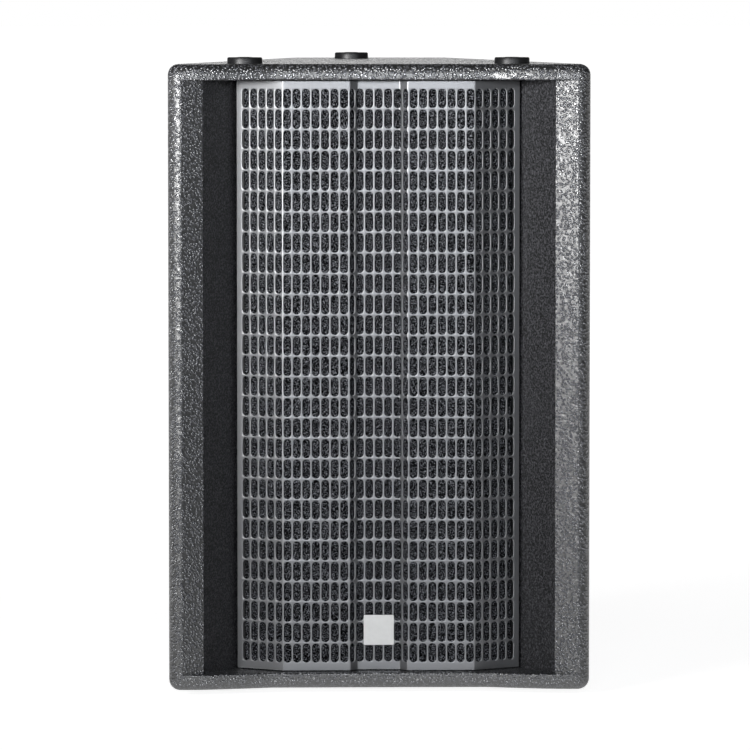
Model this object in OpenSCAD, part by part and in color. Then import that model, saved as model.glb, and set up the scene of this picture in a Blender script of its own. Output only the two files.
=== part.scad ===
// Powered line array speaker: tapered plywood cabinet, two 8 inch woofers,
// a waveguide tweeter and a rear amplifier behind a folded slotted grille.
// Millimetres. The front faces -Y, and the origin is under the middle of the cabinet, on the floor.

/* [Cabinet] */
// Width across the front
cab_w = 390; // [380:1:410]
// Height of the plywood shell, without the feet
cab_h = 580; // [570:1:620]
// Depth from the front edge to the rear face
cab_d = 410; // [400:1:440]
// Width across the rear face
rear_w = 162; // [158:1:180]
// Thickness of the plywood panels
panel_t = 15; // [13:0.5:17]
// Rounding along the outer edges of the top and bottom panels
edge_r = 10; // [4:0.5:11]
// Rounding of the upright outer corners
corner_r = 12; // [11.5:0.5:14]
// Length of the straight part of the sides, behind the front
nose_d = 28; // [24:1:34]

/* [Front] */
// How far the middle of the top and bottom front edges stands back
lip_recess = 16; // [8:1:20]
// Half the width of that straight middle
lip_flat = 100; // [80:1:106]
// Width of the sweep from the middle out to the corner
lip_run = 72; // [50:1:76]
// Width of the bevel on the inner side of each nosing
bevel_w = 20; // [14:1:24]
// Depth of that bevel
bevel_d = 10; // [6:1:13]
// Thickness of the wing boards that flare out from the baffle
wing_t = 12; // [9:0.5:13]
// Clear width between the wings, at the baffle
mouth_w = 262; // [256:1:268]
// Depth from the front edge to the face of the baffle
baffle_y = 58; // [56:1:64]
// Thickness of the baffle
baffle_t = 18; // [15:1:22]

/* [Grille] */
// Thickness of the steel sheet
sheet_t = 1.2; // [1:0.1:2]
// Depth from the front edge to the two broad facets
facet_y = 27; // [25:0.5:30]
// Half the width between the outer bends
bend_x = 89; // [87:0.5:93]
// Angle that the outer facets fold back
fold_a = 30; // [27:0.5:32]
// Half the width of the middle channel, at its top
channel_x = 26.4; // [24:0.2:30]
// Half the width of the middle channel, at its floor
channel_floor = 19.8; // [18:0.2:21]
// Depth of the middle channel
channel_d = 7; // [5:0.5:8]
// Width of a slot
slot_w = 7; // [4:0.1:7.2]
// Length of a slot
slot_l = 17.9; // [10:0.1:18.2]
// Step between columns of slots along the flat sheet
col_step = 8.8; // [8.6:0.05:9]
// Step between rows of slots
row_step = 19.1; // [19:0.05:19.6]
// Least plain strip above and below the rows of slots
row_margin = 5; // [3:0.5:8]
// Gap above and below the grille
grille_gap = 1; // [0.5:0.1:2]
// Thickness of the acoustic foam behind the grille
foam_t = 6; // [4:0.5:7]
// Side of the bare square plate on the grille
badge_w = 28; // [20:1:32]
// Thickness of that plate
badge_t = 1.2; // [0.8:0.1:2]
// Height of the middle of the plate above the foot of the grille
badge_z = 37; // [25:1:60]

/* [Feet and rigging] */
// Diameter of a rubber foot at its base
foot_d = 33; // [26:1:36]
// Height of a rubber foot
foot_h = 5.8; // [5.5:0.1:12]
// Height of the ring round the screw hole of a foot
foot_ring_h = 0.3; // [0.3:0.1:1.5]
// Distance of the front feet from the middle
foot_x = 124; // [110:1:135]
// Depth from the front edge to the front feet
foot_front_y = 45; // [42:1:60]
// Sideways place of the rear foot
rear_foot_x = -19; // [-30:1:30]
// Distance of the rear foot from the rear face
rear_foot_in = 60; // [45:1:80]
// How far the front feet below stand behind those above, so that stacked cabinets don't meet foot on foot
low_foot_back = 42; // [36:1:60]
// Distance of the rear foot below from the rear face
low_rear_foot_in = 40; // [36:1:60]
// Radius of the tapped bore of a rigging insert
insert_bore_r = 4.25; // [3:0.05:5]
// Distance of the front rigging inserts from the middle
insert_x = 105; // [80:1:110]
// Depth from the front edge to the front rigging inserts
insert_front_y = 150; // [130:1:160]
// Depth from the front edge to the rear rigging inserts
insert_rear_y = 300; // [280:1:310]
// Distance of the rear face's insert from the top
insert_drop = 60; // [50:1:80]
// Diameter of the bore for a speaker pole
pole_d = 36; // [35.2:0.1:38]
// Depth of the bore for a speaker pole
pole_depth = 80; // [60:1:95]
// Depth from the front edge to the pole bore
pole_y = 200; // [195:1:230]

/* [Handles] */
// Length of the handle's rim along the side
handle_l = 190; // [170:1:200]
// Height of the handle's rim
handle_h = 120; // [110:1:124]
// Width of the rim round the dish
handle_rim = 10.5; // [9:0.5:13]
// Thickness of the rim and of the dish
handle_t = 3; // [2:0.5:4]
// Depth of the dish
handle_depth = 62; // [50:1:66]
// Diameter of the grip bar
grip_d = 24; // [18:1:26]
// Depth from the front edge to the middle of the handle
handle_y = 215; // [205:1:225]

/* [Woofers] */
// Gap between a woofer's flange and the panel beside it
woofer_edge = 5; // [2:0.5:6]
// Diameter of the woofer's flange
woofer_d = 208; // [200:1:208]
// Thickness of the driver flanges
flange_t = 4; // [3:0.5:5]
// Width of the woofer's flange on the baffle
woofer_land = 12; // [11:0.5:14]
// Depth of the woofer's basket behind the baffle's face
basket_h = 57; // [55:1:62]
// Radius of the rubber roll round the cone
roll_r = 6; // [4:0.5:7]
// Outer radius of the voice coil
coil_r = 25.8; // [24:0.1:28]
// Travel of the cone each way
cone_travel = 5; // [3:0.5:6]

/* [Tweeter] */
// Width of the waveguide's flange
guide_w = 236; // [220:1:240]
// Gap between the waveguide's flange and each woofer
guide_gap = 4; // [1:0.5:8]
// Depth of the waveguide behind the baffle's face
guide_d = 82; // [70:1:90]
// Radius of the throat
throat_r = 12.7; // [10:0.1:18]
// Radius of the compression driver
tweeter_r = 56; // [50:1:57]

/* [Amplifier] */
// Width of the amplifier's plate
amp_w = 125; // [122:1:128]
// Height of the amplifier's plate
amp_h = 345; // [340:1:370]
// Thickness of the amplifier's plate
plate_t = 3; // [2:0.5:4]
// Gap round the plate in the rear panel
amp_gap = 0.5; // [0.3:0.1:1]
// Depth of the cover behind the plate
cover_d = 95; // [85:1:100]
// Height of the fins of the heat sink
fin_h = 7.5; // [4:0.5:8]
// Number of fins
fin_count = 13; // [7:1:17]
// Diameter of the level knob
knob_d = 20; // [14:1:22]
// Height of the level knob
knob_h = 9.5; // [7:0.5:11]
// Travel of the mode button
button_travel = 1.5; // [0.5:0.1:2]
// Angle of the power rocker to each side
rocker_a = 7; // [4:0.5:8]

/* [Hidden] */
$fn = 64;

// Clearances
fit = 0.1;
run_fit = 0.05;
free_gap = 0.4;

// Colours
paint = "#26272a";
wing_paint = "#1d1d1e";
grille_grey = "#85868c";
rubber = "#161617";
steel = "#a9abad";
plastic = "#222326";

// Plan of the cabinet, with y measured from the front edge
half_w = cab_w / 2;
mid_z = cab_h / 2;
rise = foot_h + foot_ring_h;
taper = (half_w - rear_w / 2) / (cab_d - nose_d);
taper_a = atan(taper);
inner_top = cab_h - panel_t;
rear_in = cab_d - panel_t;
round_steps = 6;
sweep_steps = 10;
sweep_power = 1.4;
function side_x(y) = half_w - (y - nose_d) * taper;
function inner_x(y) = side_x(y) - panel_t / cos(taper_a);
function arc(c, r, a0, a1, n) =
  [for (i = [0:n]) c + r * [cos(a0 + (a1 - a0) * i / n), sin(a0 + (a1 - a0) * i / n)]];
function mirrored(pts) = [for (i = [len(pts) - 1:-1:0]) [-pts[i].x, pts[i].y]];
function both_sides(pts) = concat(pts, mirrored(pts));
front_corner = arc([half_w - corner_r, corner_r], corner_r, -90, 0, round_steps);
rear_corner_c = [
  side_x(cab_d - corner_r) - corner_r / cos(taper_a),
  cab_d - corner_r
];
rear_corner = arc(rear_corner_c, corner_r, taper_a, 90, round_steps);
lip_sweep = [
  for (i = [0:sweep_steps])
    [lip_flat + lip_run * i / sweep_steps, lip_recess * pow(1 - i / sweep_steps, sweep_power)]
];
outline = both_sides(concat(lip_sweep, front_corner, [[half_w, nose_d]], rear_corner));

// Wings and grille, in plan
nose_in = [half_w - corner_r - bevel_w, bevel_d];
wing_run = [mouth_w / 2, baffle_y] - nose_in;
wing_dir = wing_run / norm(wing_run);
wing_back = nose_in + wing_t * [wing_dir.y, -wing_dir.x];
function wing_back_x(y) = wing_back.x + (y - wing_back.y) * wing_dir.x / wing_dir.y;
function wing_face_x(y) = nose_in.x + (y - nose_in.y) * wing_dir.x / wing_dir.y;
grille_side_gap = 3.2;
seal_lap = 7;
fold_dir = [cos(fold_a), sin(fold_a)];
fold_back = [-sin(fold_a), cos(fold_a)];
wing_slope = wing_dir.x / wing_dir.y;
fold_reach = (wing_face_x(facet_y) - bend_x) / (fold_dir.x - wing_slope * fold_dir.y);
fold_l = fold_reach - grille_side_gap;
fold_end = [bend_x, facet_y] + fold_l * fold_dir;
grille_z0 = panel_t + grille_gap;
grille_h = inner_top - panel_t - 2 * grille_gap;
wall_run = [channel_x - channel_floor, -channel_d];
wall_l = norm(wall_run);
wall_a = atan(channel_d / (channel_x - channel_floor));
broad_l = bend_x - channel_x;
// Starts of the wall, the broad facet and the outer facet along the flat sheet
flat_wall = channel_floor;
flat_broad = flat_wall + wall_l;
flat_outer = flat_broad + broad_l;
flat_end = flat_outer + fold_l;
edge_strip = 5;
// Narrower slots beside the bends of the channel
bend_margin = 0.6;
wall_slot_w = 5.6;
edge_slot_w = 4.8;
foam_in = 4;
sheet_front = [
  [0, facet_y + channel_d],
  [channel_floor, facet_y + channel_d],
  [channel_x, facet_y],
  [bend_x, facet_y],
  fold_end
];
slot_rows = floor((grille_h - 2 * row_margin) / row_step);
cols_half = floor((flat_end - edge_strip - slot_w / 2) / col_step);

// Rigging, feet and screws
over = 1;
screw_r = 2;
screw_head_r = 3.6;
screw_head_h = 2.2;
screw_l = 16;
short_screw_l = 11;
screw_key_r = 1.6;
screw_key_h = 1.4;
foot_spots = [
  [foot_x, foot_front_y],
  [-foot_x, foot_front_y],
  [rear_foot_x, cab_d - rear_foot_in]
];
low_foot_spots = [
  [foot_x, foot_front_y + low_foot_back],
  [-foot_x, foot_front_y + low_foot_back],
  [-rear_foot_x, cab_d - low_rear_foot_in]
];
foot_ring_r = 6.5;
foot_sink = 3.4;
foot_seat = foot_h - foot_sink;
foot_draft = 0.3;
foot_edge = 0.8;
insert_spots = [[insert_x, insert_front_y], [-insert_x, insert_front_y], [0, insert_rear_y]];
insert_r = 8;
insert_flange_r = 13;
insert_flange_t = 3;
insert_sink = 0.3;
pole_wall = 3;
pole_flange_r = 42;
pole_flange_t = 3;
pole_screw_r = 33;
pole_screws = 4;
pole_screw_a = 45;

// Handle
grip_drop = 6;
grip_z = 20;
handle_corner = 12;
handle_screw_u = handle_l / 2 - handle_rim / 2;
handle_screw_z = [-handle_h / 2 + handle_corner, 0, handle_h / 2 - handle_corner];
handle_in_l = handle_l - 2 * handle_rim;
handle_in_h = handle_h - 2 * handle_rim;

// Woofer, with depth measured back from the baffle's face
woofer_z = inner_top - mid_z - woofer_edge - woofer_d / 2;
woofer_hole_r = woofer_d / 2 - woofer_land;
wall_gap = 1;
basket_wall = 4;
cone_r = woofer_hole_r - wall_gap - basket_wall - 2 * roll_r;
basket_step = 8;
motor_r = 60;
top_plate_h = 8;
magnet_r = 70;
coil_room = 5;
magnet_h = 2 * cone_travel + 2 * coil_room;
magnet_in_r = 34;
back_plate_h = 8;
back_plate_r = 62;
vent_r = 6;
coil_wall = 1;
coil_gap = 0.7;
coil_front = 34;
coil_l = basket_h + top_plate_h + cone_travel - coil_front;
cone_t = 1.2;
cone_neck = coil_front + 1;
cap_r = 34;
cap_rise = 12;
cap_t = 1;
surround_t = 1;
surround_lip = 3;
spider_r = 56;
spider_land = 6;
spider_t = 0.8;
spider_wave = 1.2;
spider_steps = 24;
spider_waves = 4;
spider_y = basket_h - basket_wall - spider_land;
woofer_bolt_in = 5.5;
woofer_bolt_r = woofer_d / 2 - woofer_bolt_in;
woofer_bolts = 8;
window_count = 6;
window_w = 44;
cap_ball_r = (cap_r * cap_r + cap_rise * cap_rise) / (2 * cap_rise);
cone_slope = (cone_neck + flange_t) / (cone_r - coil_r);
function cone_y(r) = cone_neck - (r - coil_r) * cone_slope;

// Braces between the sides, behind the motors
brace_gap = 5;
brace_l = 65;
brace_t = 18;
brace_z = 76;
magnet_y = basket_h + top_plate_h;
back_y = magnet_y + magnet_h;
brace_y0 = baffle_y + back_y + back_plate_h + brace_gap;
brace_y1 = brace_y0 + brace_l;

// Tweeter
guide_h = 2 * (woofer_z - woofer_d / 2 - guide_gap);
guide_wall = 4;
guide_rim = 10;
guide_hole_w = guide_w - 2 * guide_rim + 2 * wall_gap;
guide_hole_h = guide_h - 2 * guide_rim + 2 * wall_gap;
throat_flange_r = 42;
throat_flange_t = 6;
tweeter_front = guide_d + throat_flange_t;
tweeter_h = 34;
tweeter_cap_h = 12;
tweeter_cap_t = 4;
tweeter_well = 8;
dome_r = 36;
dome_rise = 5;
dome_t = 0.6;
dome_rim = 5;
tweeter_well_r = dome_r + wall_gap;
dome_ball_r = (dome_r * dome_r + dome_rise * dome_rise) / (2 * dome_rise);
guide_bolt_x = guide_w / 2 - guide_rim / 2;
guide_bolt_z = guide_h / 2 - guide_rim / 2;

// Amplifier, with z measured from mid-height
plate_y = rear_in;
face_y = plate_y + plate_t;
frame_d = 12;
frame_lap = 10.5;
frame_bar = 16;
amp_bolt_x = amp_w / 2 - frame_lap / 2;
amp_bolt_rows = 5;
amp_bolt_z = amp_h / 2 - frame_lap / 2;
cover_gap = 3;
cover_t = 1.5;
cover_w = amp_w - 2 * frame_lap - 2 * cover_gap;
cover_h = amp_h - 2 * frame_lap - 2 * cover_gap;
sink_w = 104;
sink_l = 128;
sink_z = 92;
sink_base = 3;
fin_t = 2;
sink_block_w = 60;
sink_block_l = 90;
board_t = 1.6;
board_drop = 35;
board_y = plate_y - board_drop;
board_side_gap = 4;
board_end_gap = 8;
board_w = cover_w - 2 * board_side_gap;
board_h = cover_h - 2 * board_end_gap;
post_r = 3;
post_in = 5;
post_x = board_w / 2 - post_in;
post_z = board_h / 2 - post_in;
cap_can_r = 11;
cap_can_h = 26;
can_z = 40;
can_step = 30;
can_rows = 3;
can_x = 21;
coil_can_r = 14;
coil_can_h = 18;
ring_r = 25;
ring_w = 22;
ring_h = 30;
ring_z = -75;
ring_bolt_r = 4;
knob_x = 30;
knob_z = 8;
knob_gap = 0.5;
knob_edge = 1;
shaft_r = 3;
shaft_l = 20;
pot_r = 8;
pot_h = 25;
pointer_w = 1.4;
pointer_d = 0.8;
button_x = -8;
button_r = 4;
button_rest = 2;
button_out = button_travel + button_rest;
button_in = 9;
button_collar_r = 5.2;
button_collar_t = 1.5;
button_post_gap = 5;
button_post_h = face_y - button_in - button_travel - button_post_gap - board_y - board_t;
light_x = -24;
light_step = 7;
light_count = 3;
light_r = 1.5;
light_collar_r = 2.3;
light_collar_t = 1.2;
socket_x = 26;
socket_z = -40;
socket_w = 26;
socket_h = 31;
socket_t = 2;
socket_corner = 3;
socket_r = 11.8;
socket_l = 24;
socket_screw_x = 9.5;
socket_screw_z = 12;
plug_r = 8.3;
plug_core_r = 6.8;
plug_depth = 14;
pin_r = 1.2;
pin_ring_r = 4.4;
pin_angles = [0, 120, 240];
latch_w = 7;
latch_h = 2.4;
latch_out = 2;
latch_l = 8;
latch_travel = 2;
latch_z = plug_r + free_gap + latch_h / 2;
inlet_z = -95;
inlet_w = 50;
inlet_h = 28;
inlet_t = 2.5;
inlet_corner = 4;
inlet_body_w = 30;
inlet_body_h = 23;
inlet_l = 22;
inlet_in_w = 25;
inlet_in_h = 17.5;
inlet_depth = 15;
inlet_screw_x = 20;
blade_w = 2;
blade_h = 4;
blade_l = 12;
blade_step = 7;
blade_drop = 2;
switch_z = -137;
switch_w = 31;
switch_h = 17;
switch_t = 2;
switch_corner = 1.5;
switch_body_w = 27.5;
switch_body_h = 13.5;
switch_l = 18;
rocker_w = 21.6;
rocker_h = 9.4;
rocker_top = 2.6;
rocker_dip = 1.4;
rocker_base = 4;
rocker_end_gap = 1.2;
rocker_well_w = rocker_w + 2 * rocker_end_gap;
rocker_well_h = rocker_h + 2 * free_gap;
rocker_well_d = 8;
rocker_pin_r = 1.2;
rocker_pin_l = 1.2;
rocker_y = 0;

// Helpers

// Shifts the cabinet's own frame, with y from the front edge and z from the underside, onto the floor.
module in_cabinet() translate([0, -cab_d / 2, rise]) children();

module upright(pts, z0, z1) translate([0, 0, z0]) linear_extrude(z1 - z0) polygon(pts);

module facing_back() rotate([-90, 0, 0]) children();

module left_copy() mirror([1, 0, 0]) children();

module rounded_rect(w, h, r) {
  square([w - 2 * r, h], center = true);
  square([w, h - 2 * r], center = true);
  for (x = [-1, 1], y = [-1, 1]) translate([x * (w / 2 - r), y * (h / 2 - r)]) circle(r);
}

// A screw along -Z with the underside of its head at z = 0.
module screw(l = screw_l) {
  difference() {
    union() {
      cylinder(r = screw_head_r, h = screw_head_h);
      translate([0, 0, -l]) cylinder(r = screw_r, h = l);
    }
    translate([0, 0, screw_head_h - screw_key_h]) cylinder(r = screw_key_r, h = 2 * screw_key_h, $fn = 6);
  }
}

module pilot(l = screw_l) translate([0, 0, -l - fit]) cylinder(r = screw_r + fit, h = l + 2 * fit);

// Cabinet panels

// Inset copy of the outline, moved in along its normals.
function inset(e) = [
  for (i = [0:len(outline) - 1])
    let (
      n = len(outline),
      run = outline[(i + 1) % n] - outline[(i + n - 1) % n],
      side = [-run.y, run.x] / norm(run)
    )
    outline[i] + e * side
];

// The top panel before drilling: sharp below, rounded above.
module panel_blank() {
  n = len(outline);
  rings = concat(
    [[0, inner_top]],
    [
      for (i = [0:round_steps])
        let (a = 90 * i / round_steps)
        [edge_r * (1 - cos(a)), cab_h - edge_r + edge_r * sin(a)]
    ]
  );
  last = len(rings) - 1;
  hub = [0, cab_d / 3];
  points = concat(
    [for (ring = rings, p = inset(ring[0])) [p.x, p.y, ring[1]]],
    [[hub.x, hub.y, inner_top], [hub.x, hub.y, cab_h]]
  );
  low_hub = len(points) - 2;
  high_hub = len(points) - 1;
  faces = concat(
    [
      for (k = [0:last - 1], i = [0:n - 1])
        [k * n + i, (k + 1) * n + i, (k + 1) * n + (i + 1) % n]
    ],
    [
      for (k = [0:last - 1], i = [0:n - 1])
        [k * n + i, (k + 1) * n + (i + 1) % n, k * n + (i + 1) % n]
    ],
    [for (i = [0:n - 1]) [low_hub, i, (i + 1) % n]],
    [for (i = [0:n - 1]) [high_hub, last * n + (i + 1) % n, last * n + i]]
  );
  polyhedron(points, faces);
}

module panel_holes(spots) {
  for (p = spots) translate([p.x, p.y, cab_h + foot_seat]) pilot();
  for (p = insert_spots)
    translate([p.x, p.y, inner_top - fit]) cylinder(r = insert_r + fit, h = panel_t + 2 * fit);
}

module turned_over() translate([0, 0, cab_h]) mirror([0, 0, 1]) children();

module drilled_panel(spots) {
  difference() {
    panel_blank();
    panel_holes(spots);
  }
}

module top_panel() color(paint) in_cabinet() drilled_panel(foot_spots);

module bottom_panel() {
  color(paint) in_cabinet() difference() {
    turned_over() drilled_panel(low_foot_spots);
    translate([0, pole_y, -fit]) cylinder(r = pole_d / 2 + pole_wall + fit, h = panel_t + 2 * fit);
    at_pole_screws() pilot();
  }
}

// A frame on the outer face of the right side, with X outward, Y back along the side and Z up.
module on_side() translate([side_x(handle_y), handle_y, mid_z]) rotate([0, 0, taper_a]) children();

module side_board() {
  difference() {
    upright([
      [half_w, nose_d],
      [side_x(rear_in), rear_in],
      [inner_x(rear_in), rear_in],
      [inner_x(nose_d), nose_d]
    ], panel_t, inner_top);
    on_side() {
      translate([-2 * panel_t, 0, 0]) rotate([90, 0, 90]) linear_extrude(3 * panel_t)
        rounded_rect(handle_in_l + 2 * free_gap, handle_in_h + 2 * free_gap, handle_corner);
      at_handle_screws() pilot();
    }
  }
}

module right_side_panel() color(paint) in_cabinet() side_board();

module left_side_panel() color(paint) in_cabinet() left_copy() side_board();

module nosing() {
  upright(concat(front_corner, [
    [half_w, nose_d],
    [wing_back_x(nose_d), nose_d],
    wing_back,
    nose_in
  ]), panel_t, inner_top);
}

module right_nosing() color(paint) in_cabinet() nosing();

module left_nosing() color(paint) in_cabinet() left_copy() nosing();

module rear_panel() {
  color(paint) in_cabinet() difference() {
    upright(both_sides(concat([[side_x(rear_in), rear_in]], rear_corner)), panel_t, inner_top);
    translate([0, rear_in - fit, mid_z]) rotate([-90, 0, 0]) linear_extrude(panel_t + 2 * fit)
      square([amp_w + 2 * amp_gap, amp_h + 2 * amp_gap], center = true);
    translate([0, rear_in - fit, cab_h - insert_drop]) rotate([-90, 0, 0])
      cylinder(r = insert_r + fit, h = panel_t + 2 * fit);
  }
}

// A ply ring glued behind the rear panel, which the amplifier's plate is screwed to.
module amp_frame() {
  color("#8a6f4c") in_cabinet() difference() {
    upright(both_sides([
      [inner_x(rear_in - frame_d), rear_in - frame_d],
      [inner_x(rear_in), rear_in]
    ]), mid_z - amp_h / 2 - frame_bar, mid_z + amp_h / 2 + frame_bar);
    translate([0, rear_in - frame_d - fit, mid_z]) rotate([-90, 0, 0]) linear_extrude(frame_d + 2 * fit)
      square([amp_w - 2 * frame_lap, amp_h - 2 * frame_lap], center = true);
    at_plate_screws() pilot(short_screw_l);
  }
}

module baffle_board() {
  back = baffle_y + baffle_t;
  color(wing_paint) in_cabinet() difference() {
    upright(both_sides([
      [inner_x(baffle_y), baffle_y],
      [inner_x(back), back]
    ]), panel_t, inner_top);
    for (s = [-1, 1])
      translate([0, baffle_y - fit, mid_z + s * woofer_z]) rotate([-90, 0, 0])
        cylinder(r = woofer_hole_r, h = baffle_t + 2 * fit);
    translate([0, baffle_y - fit, mid_z]) rotate([-90, 0, 0]) linear_extrude(baffle_t + 2 * fit)
      square([guide_hole_w, guide_hole_h], center = true);
    at_driver_screws() pilot();
  }
}

module wing() {
  upright([
    nose_in,
    wing_back,
    [wing_back_x(baffle_y), baffle_y],
    [mouth_w / 2, baffle_y]
  ], panel_t, inner_top);
}

module right_wing() color(wing_paint) in_cabinet() wing();

module left_wing() color(wing_paint) in_cabinet() left_copy() wing();

module cross_braces() {
  color("#b08d5f") in_cabinet() for (s = [-1, 1])
    upright(both_sides([
      [inner_x(brace_y0), brace_y0],
      [inner_x(brace_y1), brace_y1]
    ]), mid_z + s * brace_z - brace_t / 2, mid_z + s * brace_z + brace_t / 2);
}

// Grille

// The front line of the sheet moved back by d, with mitred bends, and cut short at its ends.
function sheet_back(d, cut) = [
  [0, facet_y + channel_d + d],
  [channel_floor + d * tan(wall_a / 2), facet_y + channel_d + d],
  [channel_x + d * tan(wall_a / 2), facet_y + d],
  [bend_x - d * tan(fold_a / 2), facet_y + d],
  fold_end - cut * fold_dir + d * fold_back
];

function layer(d0, d1, cut = 0) =
  let (near = sheet_back(d0, cut), far = sheet_back(d1, cut))
  concat(
    mirrored([for (i = [1:4]) near[i]]),
    [for (i = [1:4]) near[i]],
    [for (i = [4:-1:1]) far[i]],
    [for (i = [1:4]) [-far[i].x, far[i].y]]
  );

// An upright slot with round ends.
module slot(w) {
  square([w, slot_l - w], center = true);
  for (s = [-1, 1]) translate([0, s * (slot_l - w) / 2]) circle(d = w);
}

// Columns of slots along a facet, with x measured from the facet's start.
module slot_columns(places, w = slot_w) {
  for (x = places, j = [0:slot_rows - 1]) translate([x, (j - (slot_rows - 1) / 2) * row_step]) slot(w);
}

// Cuts through the sheet, square to a facet that starts at p and runs at angle a.
module through_facet(p, a) {
  translate([p.x, p.y, mid_z]) rotate([0, 0, a]) translate([0, 2 * sheet_t, 0]) rotate([90, 0, 0])
    linear_extrude(3 * sheet_t) children();
}

// Number of the last column whose slot ends before a place on the flat sheet.
function last_col(flat) = floor((flat - slot_w / 2) / col_step);

module half_slots() {
  wall_col = last_col(flat_wall) + 2;
  broad_col = last_col(flat_outer);
  through_facet(sheet_front[3], fold_a)
    slot_columns([for (i = [broad_col + 1:cols_half]) i * col_step - flat_outer]);
  through_facet(sheet_front[2], 0)
    slot_columns([for (i = [wall_col + 1:broad_col]) i * col_step - flat_broad]);
  through_facet(sheet_front[1], -wall_a)
    slot_columns([wall_l - bend_margin - wall_slot_w / 2], wall_slot_w);
  through_facet(sheet_front[0], 0)
    slot_columns([channel_floor - bend_margin - edge_slot_w / 2], edge_slot_w);
}

module grille() {
  color(grille_grey) in_cabinet() difference() {
    upright(layer(0, sheet_t), grille_z0, grille_z0 + grille_h);
    half_slots();
    left_copy() half_slots();
    through_facet(sheet_front[0], 0)
      slot_columns([for (i = [-last_col(flat_wall):last_col(flat_wall)]) i * col_step]);
  }
}

module grille_foam() {
  color("#111112") in_cabinet() upright(
    layer(sheet_t, sheet_t + foam_t, seal_lap + free_gap),
    grille_z0 + foam_in,
    grille_z0 + grille_h - foam_in
  );
}

// A rubber strip on the baffle that the long edge of the grille is pressed against.
module grille_seal() {
  inner = fold_end - seal_lap * fold_dir + sheet_t * fold_back;
  outer = fold_end + sheet_t * fold_back;
  upright([
    inner,
    outer,
    [mouth_w / 2 - free_gap, baffle_y],
    [inner.x, baffle_y]
  ], grille_z0, grille_z0 + grille_h);
}

module right_grille_seal() color(rubber) in_cabinet() grille_seal();

module left_grille_seal() color(rubber) in_cabinet() left_copy() grille_seal();

module badge_plate() {
  color("#f2f2f0") in_cabinet()
    translate([0, facet_y + channel_d, grille_z0 + badge_z]) rotate([90, 0, 0])
      linear_extrude(badge_t) rounded_rect(badge_w, badge_w, badge_t);
}

// Feet and rigging

module foot() {
  r = foot_d / 2;
  difference() {
    union() {
      rotate_extrude() polygon([
        [0, 0],
        [r, 0],
        [r - foot_draft, foot_h - foot_edge],
        [r - foot_draft - foot_edge, foot_h],
        [0, foot_h]
      ]);
      cylinder(r = foot_ring_r, h = foot_h + foot_ring_h);
    }
    translate([0, 0, -fit]) cylinder(r = screw_r + fit, h = foot_h + over);
    translate([0, 0, foot_seat]) cylinder(r = screw_head_r + fit, h = foot_h);
  }
}

module feet(spots) for (p = spots) translate([p.x, p.y, cab_h]) foot();

module top_feet() color(rubber) in_cabinet() feet(foot_spots);

module bottom_feet() color(rubber) in_cabinet() turned_over() feet(low_foot_spots);

module foot_screw_set(spots) for (p = spots) translate([p.x, p.y, cab_h + foot_seat]) screw();

module foot_screws() {
  color(steel) in_cabinet() {
    foot_screw_set(foot_spots);
    turned_over() foot_screw_set(low_foot_spots);
  }
}

// A tapped steel bush with its flange on the inside of a panel and its mouth near z = 0.
module insert() {
  difference() {
    union() {
      translate([0, 0, -panel_t]) cylinder(r = insert_r, h = panel_t - insert_sink);
      translate([0, 0, -panel_t - insert_flange_t]) cylinder(r = insert_flange_r, h = insert_flange_t);
    }
    translate([0, 0, -panel_t - insert_flange_t - fit])
      cylinder(r = insert_bore_r, h = panel_t + insert_flange_t + over);
  }
}

module insert_set() for (p = insert_spots) translate([p.x, p.y, cab_h]) insert();

module rigging_inserts() {
  color(steel) in_cabinet() {
    insert_set();
    turned_over() insert_set();
    translate([0, cab_d, cab_h - insert_drop]) rotate([-90, 0, 0]) insert();
  }
}

module pole_socket() {
  r = pole_d / 2;
  color("#2b2c2e") in_cabinet() translate([0, pole_y, 0]) difference() {
    union() {
      translate([0, 0, -pole_flange_t]) cylinder(r = pole_flange_r, h = pole_flange_t);
      translate([0, 0, -pole_flange_t])
        cylinder(r = r + pole_wall, h = pole_depth + pole_flange_t + pole_wall);
    }
    translate([0, 0, -pole_flange_t - over]) cylinder(r = r, h = pole_depth + pole_flange_t + over);
    for (i = [0:pole_screws - 1]) rotate([0, 0, pole_screw_a + 360 * i / pole_screws])
      translate([pole_screw_r, 0, -pole_flange_t - fit])
        cylinder(r = screw_r + fit, h = pole_flange_t + over);
  }
}

module at_pole_screws() {
  translate([0, pole_y, -pole_flange_t]) for (i = [0:pole_screws - 1])
    rotate([0, 0, pole_screw_a + 360 * i / pole_screws])
      translate([pole_screw_r, 0, 0]) rotate([180, 0, 0]) children();
}

module pole_socket_screws() color(steel) in_cabinet() at_pole_screws() screw();

// Handles

module at_handle_screws() {
  for (s = [-1, 1], z = handle_screw_z)
    translate([handle_t, s * handle_screw_u, z]) rotate([0, 90, 0]) children();
}

module handle() {
  on_side() difference() {
    union() {
      rotate([90, 0, 90]) linear_extrude(handle_t) rounded_rect(handle_l, handle_h, handle_corner);
      difference() {
        translate([-handle_depth, 0, 0]) rotate([90, 0, 90]) linear_extrude(handle_depth)
          rounded_rect(handle_in_l, handle_in_h, handle_corner);
        handle_hollow();
      }
      translate([-grip_drop - grip_d / 2, 0, grip_z]) rotate([90, 0, 0])
        cylinder(d = grip_d, h = handle_in_l - handle_t, center = true);
    }
    handle_mouth();
    at_handle_screws() translate([0, 0, -handle_t - fit]) cylinder(r = screw_r + fit, h = handle_t + over);
  }
}

module handle_hollow() {
  translate([handle_t - handle_depth, 0, 0]) rotate([90, 0, 90]) linear_extrude(handle_depth)
    rounded_rect(handle_in_l - 2 * handle_t, handle_in_h - 2 * handle_t, handle_corner - handle_t);
}

// Opens the rim over the dish.
module handle_mouth() {
  rotate([90, 0, 90]) translate([0, 0, -fit]) linear_extrude(handle_t + over)
    rounded_rect(handle_in_l - 2 * handle_t, handle_in_h - 2 * handle_t, handle_corner - handle_t);
}

module right_handle() color(plastic) in_cabinet() handle();

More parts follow.
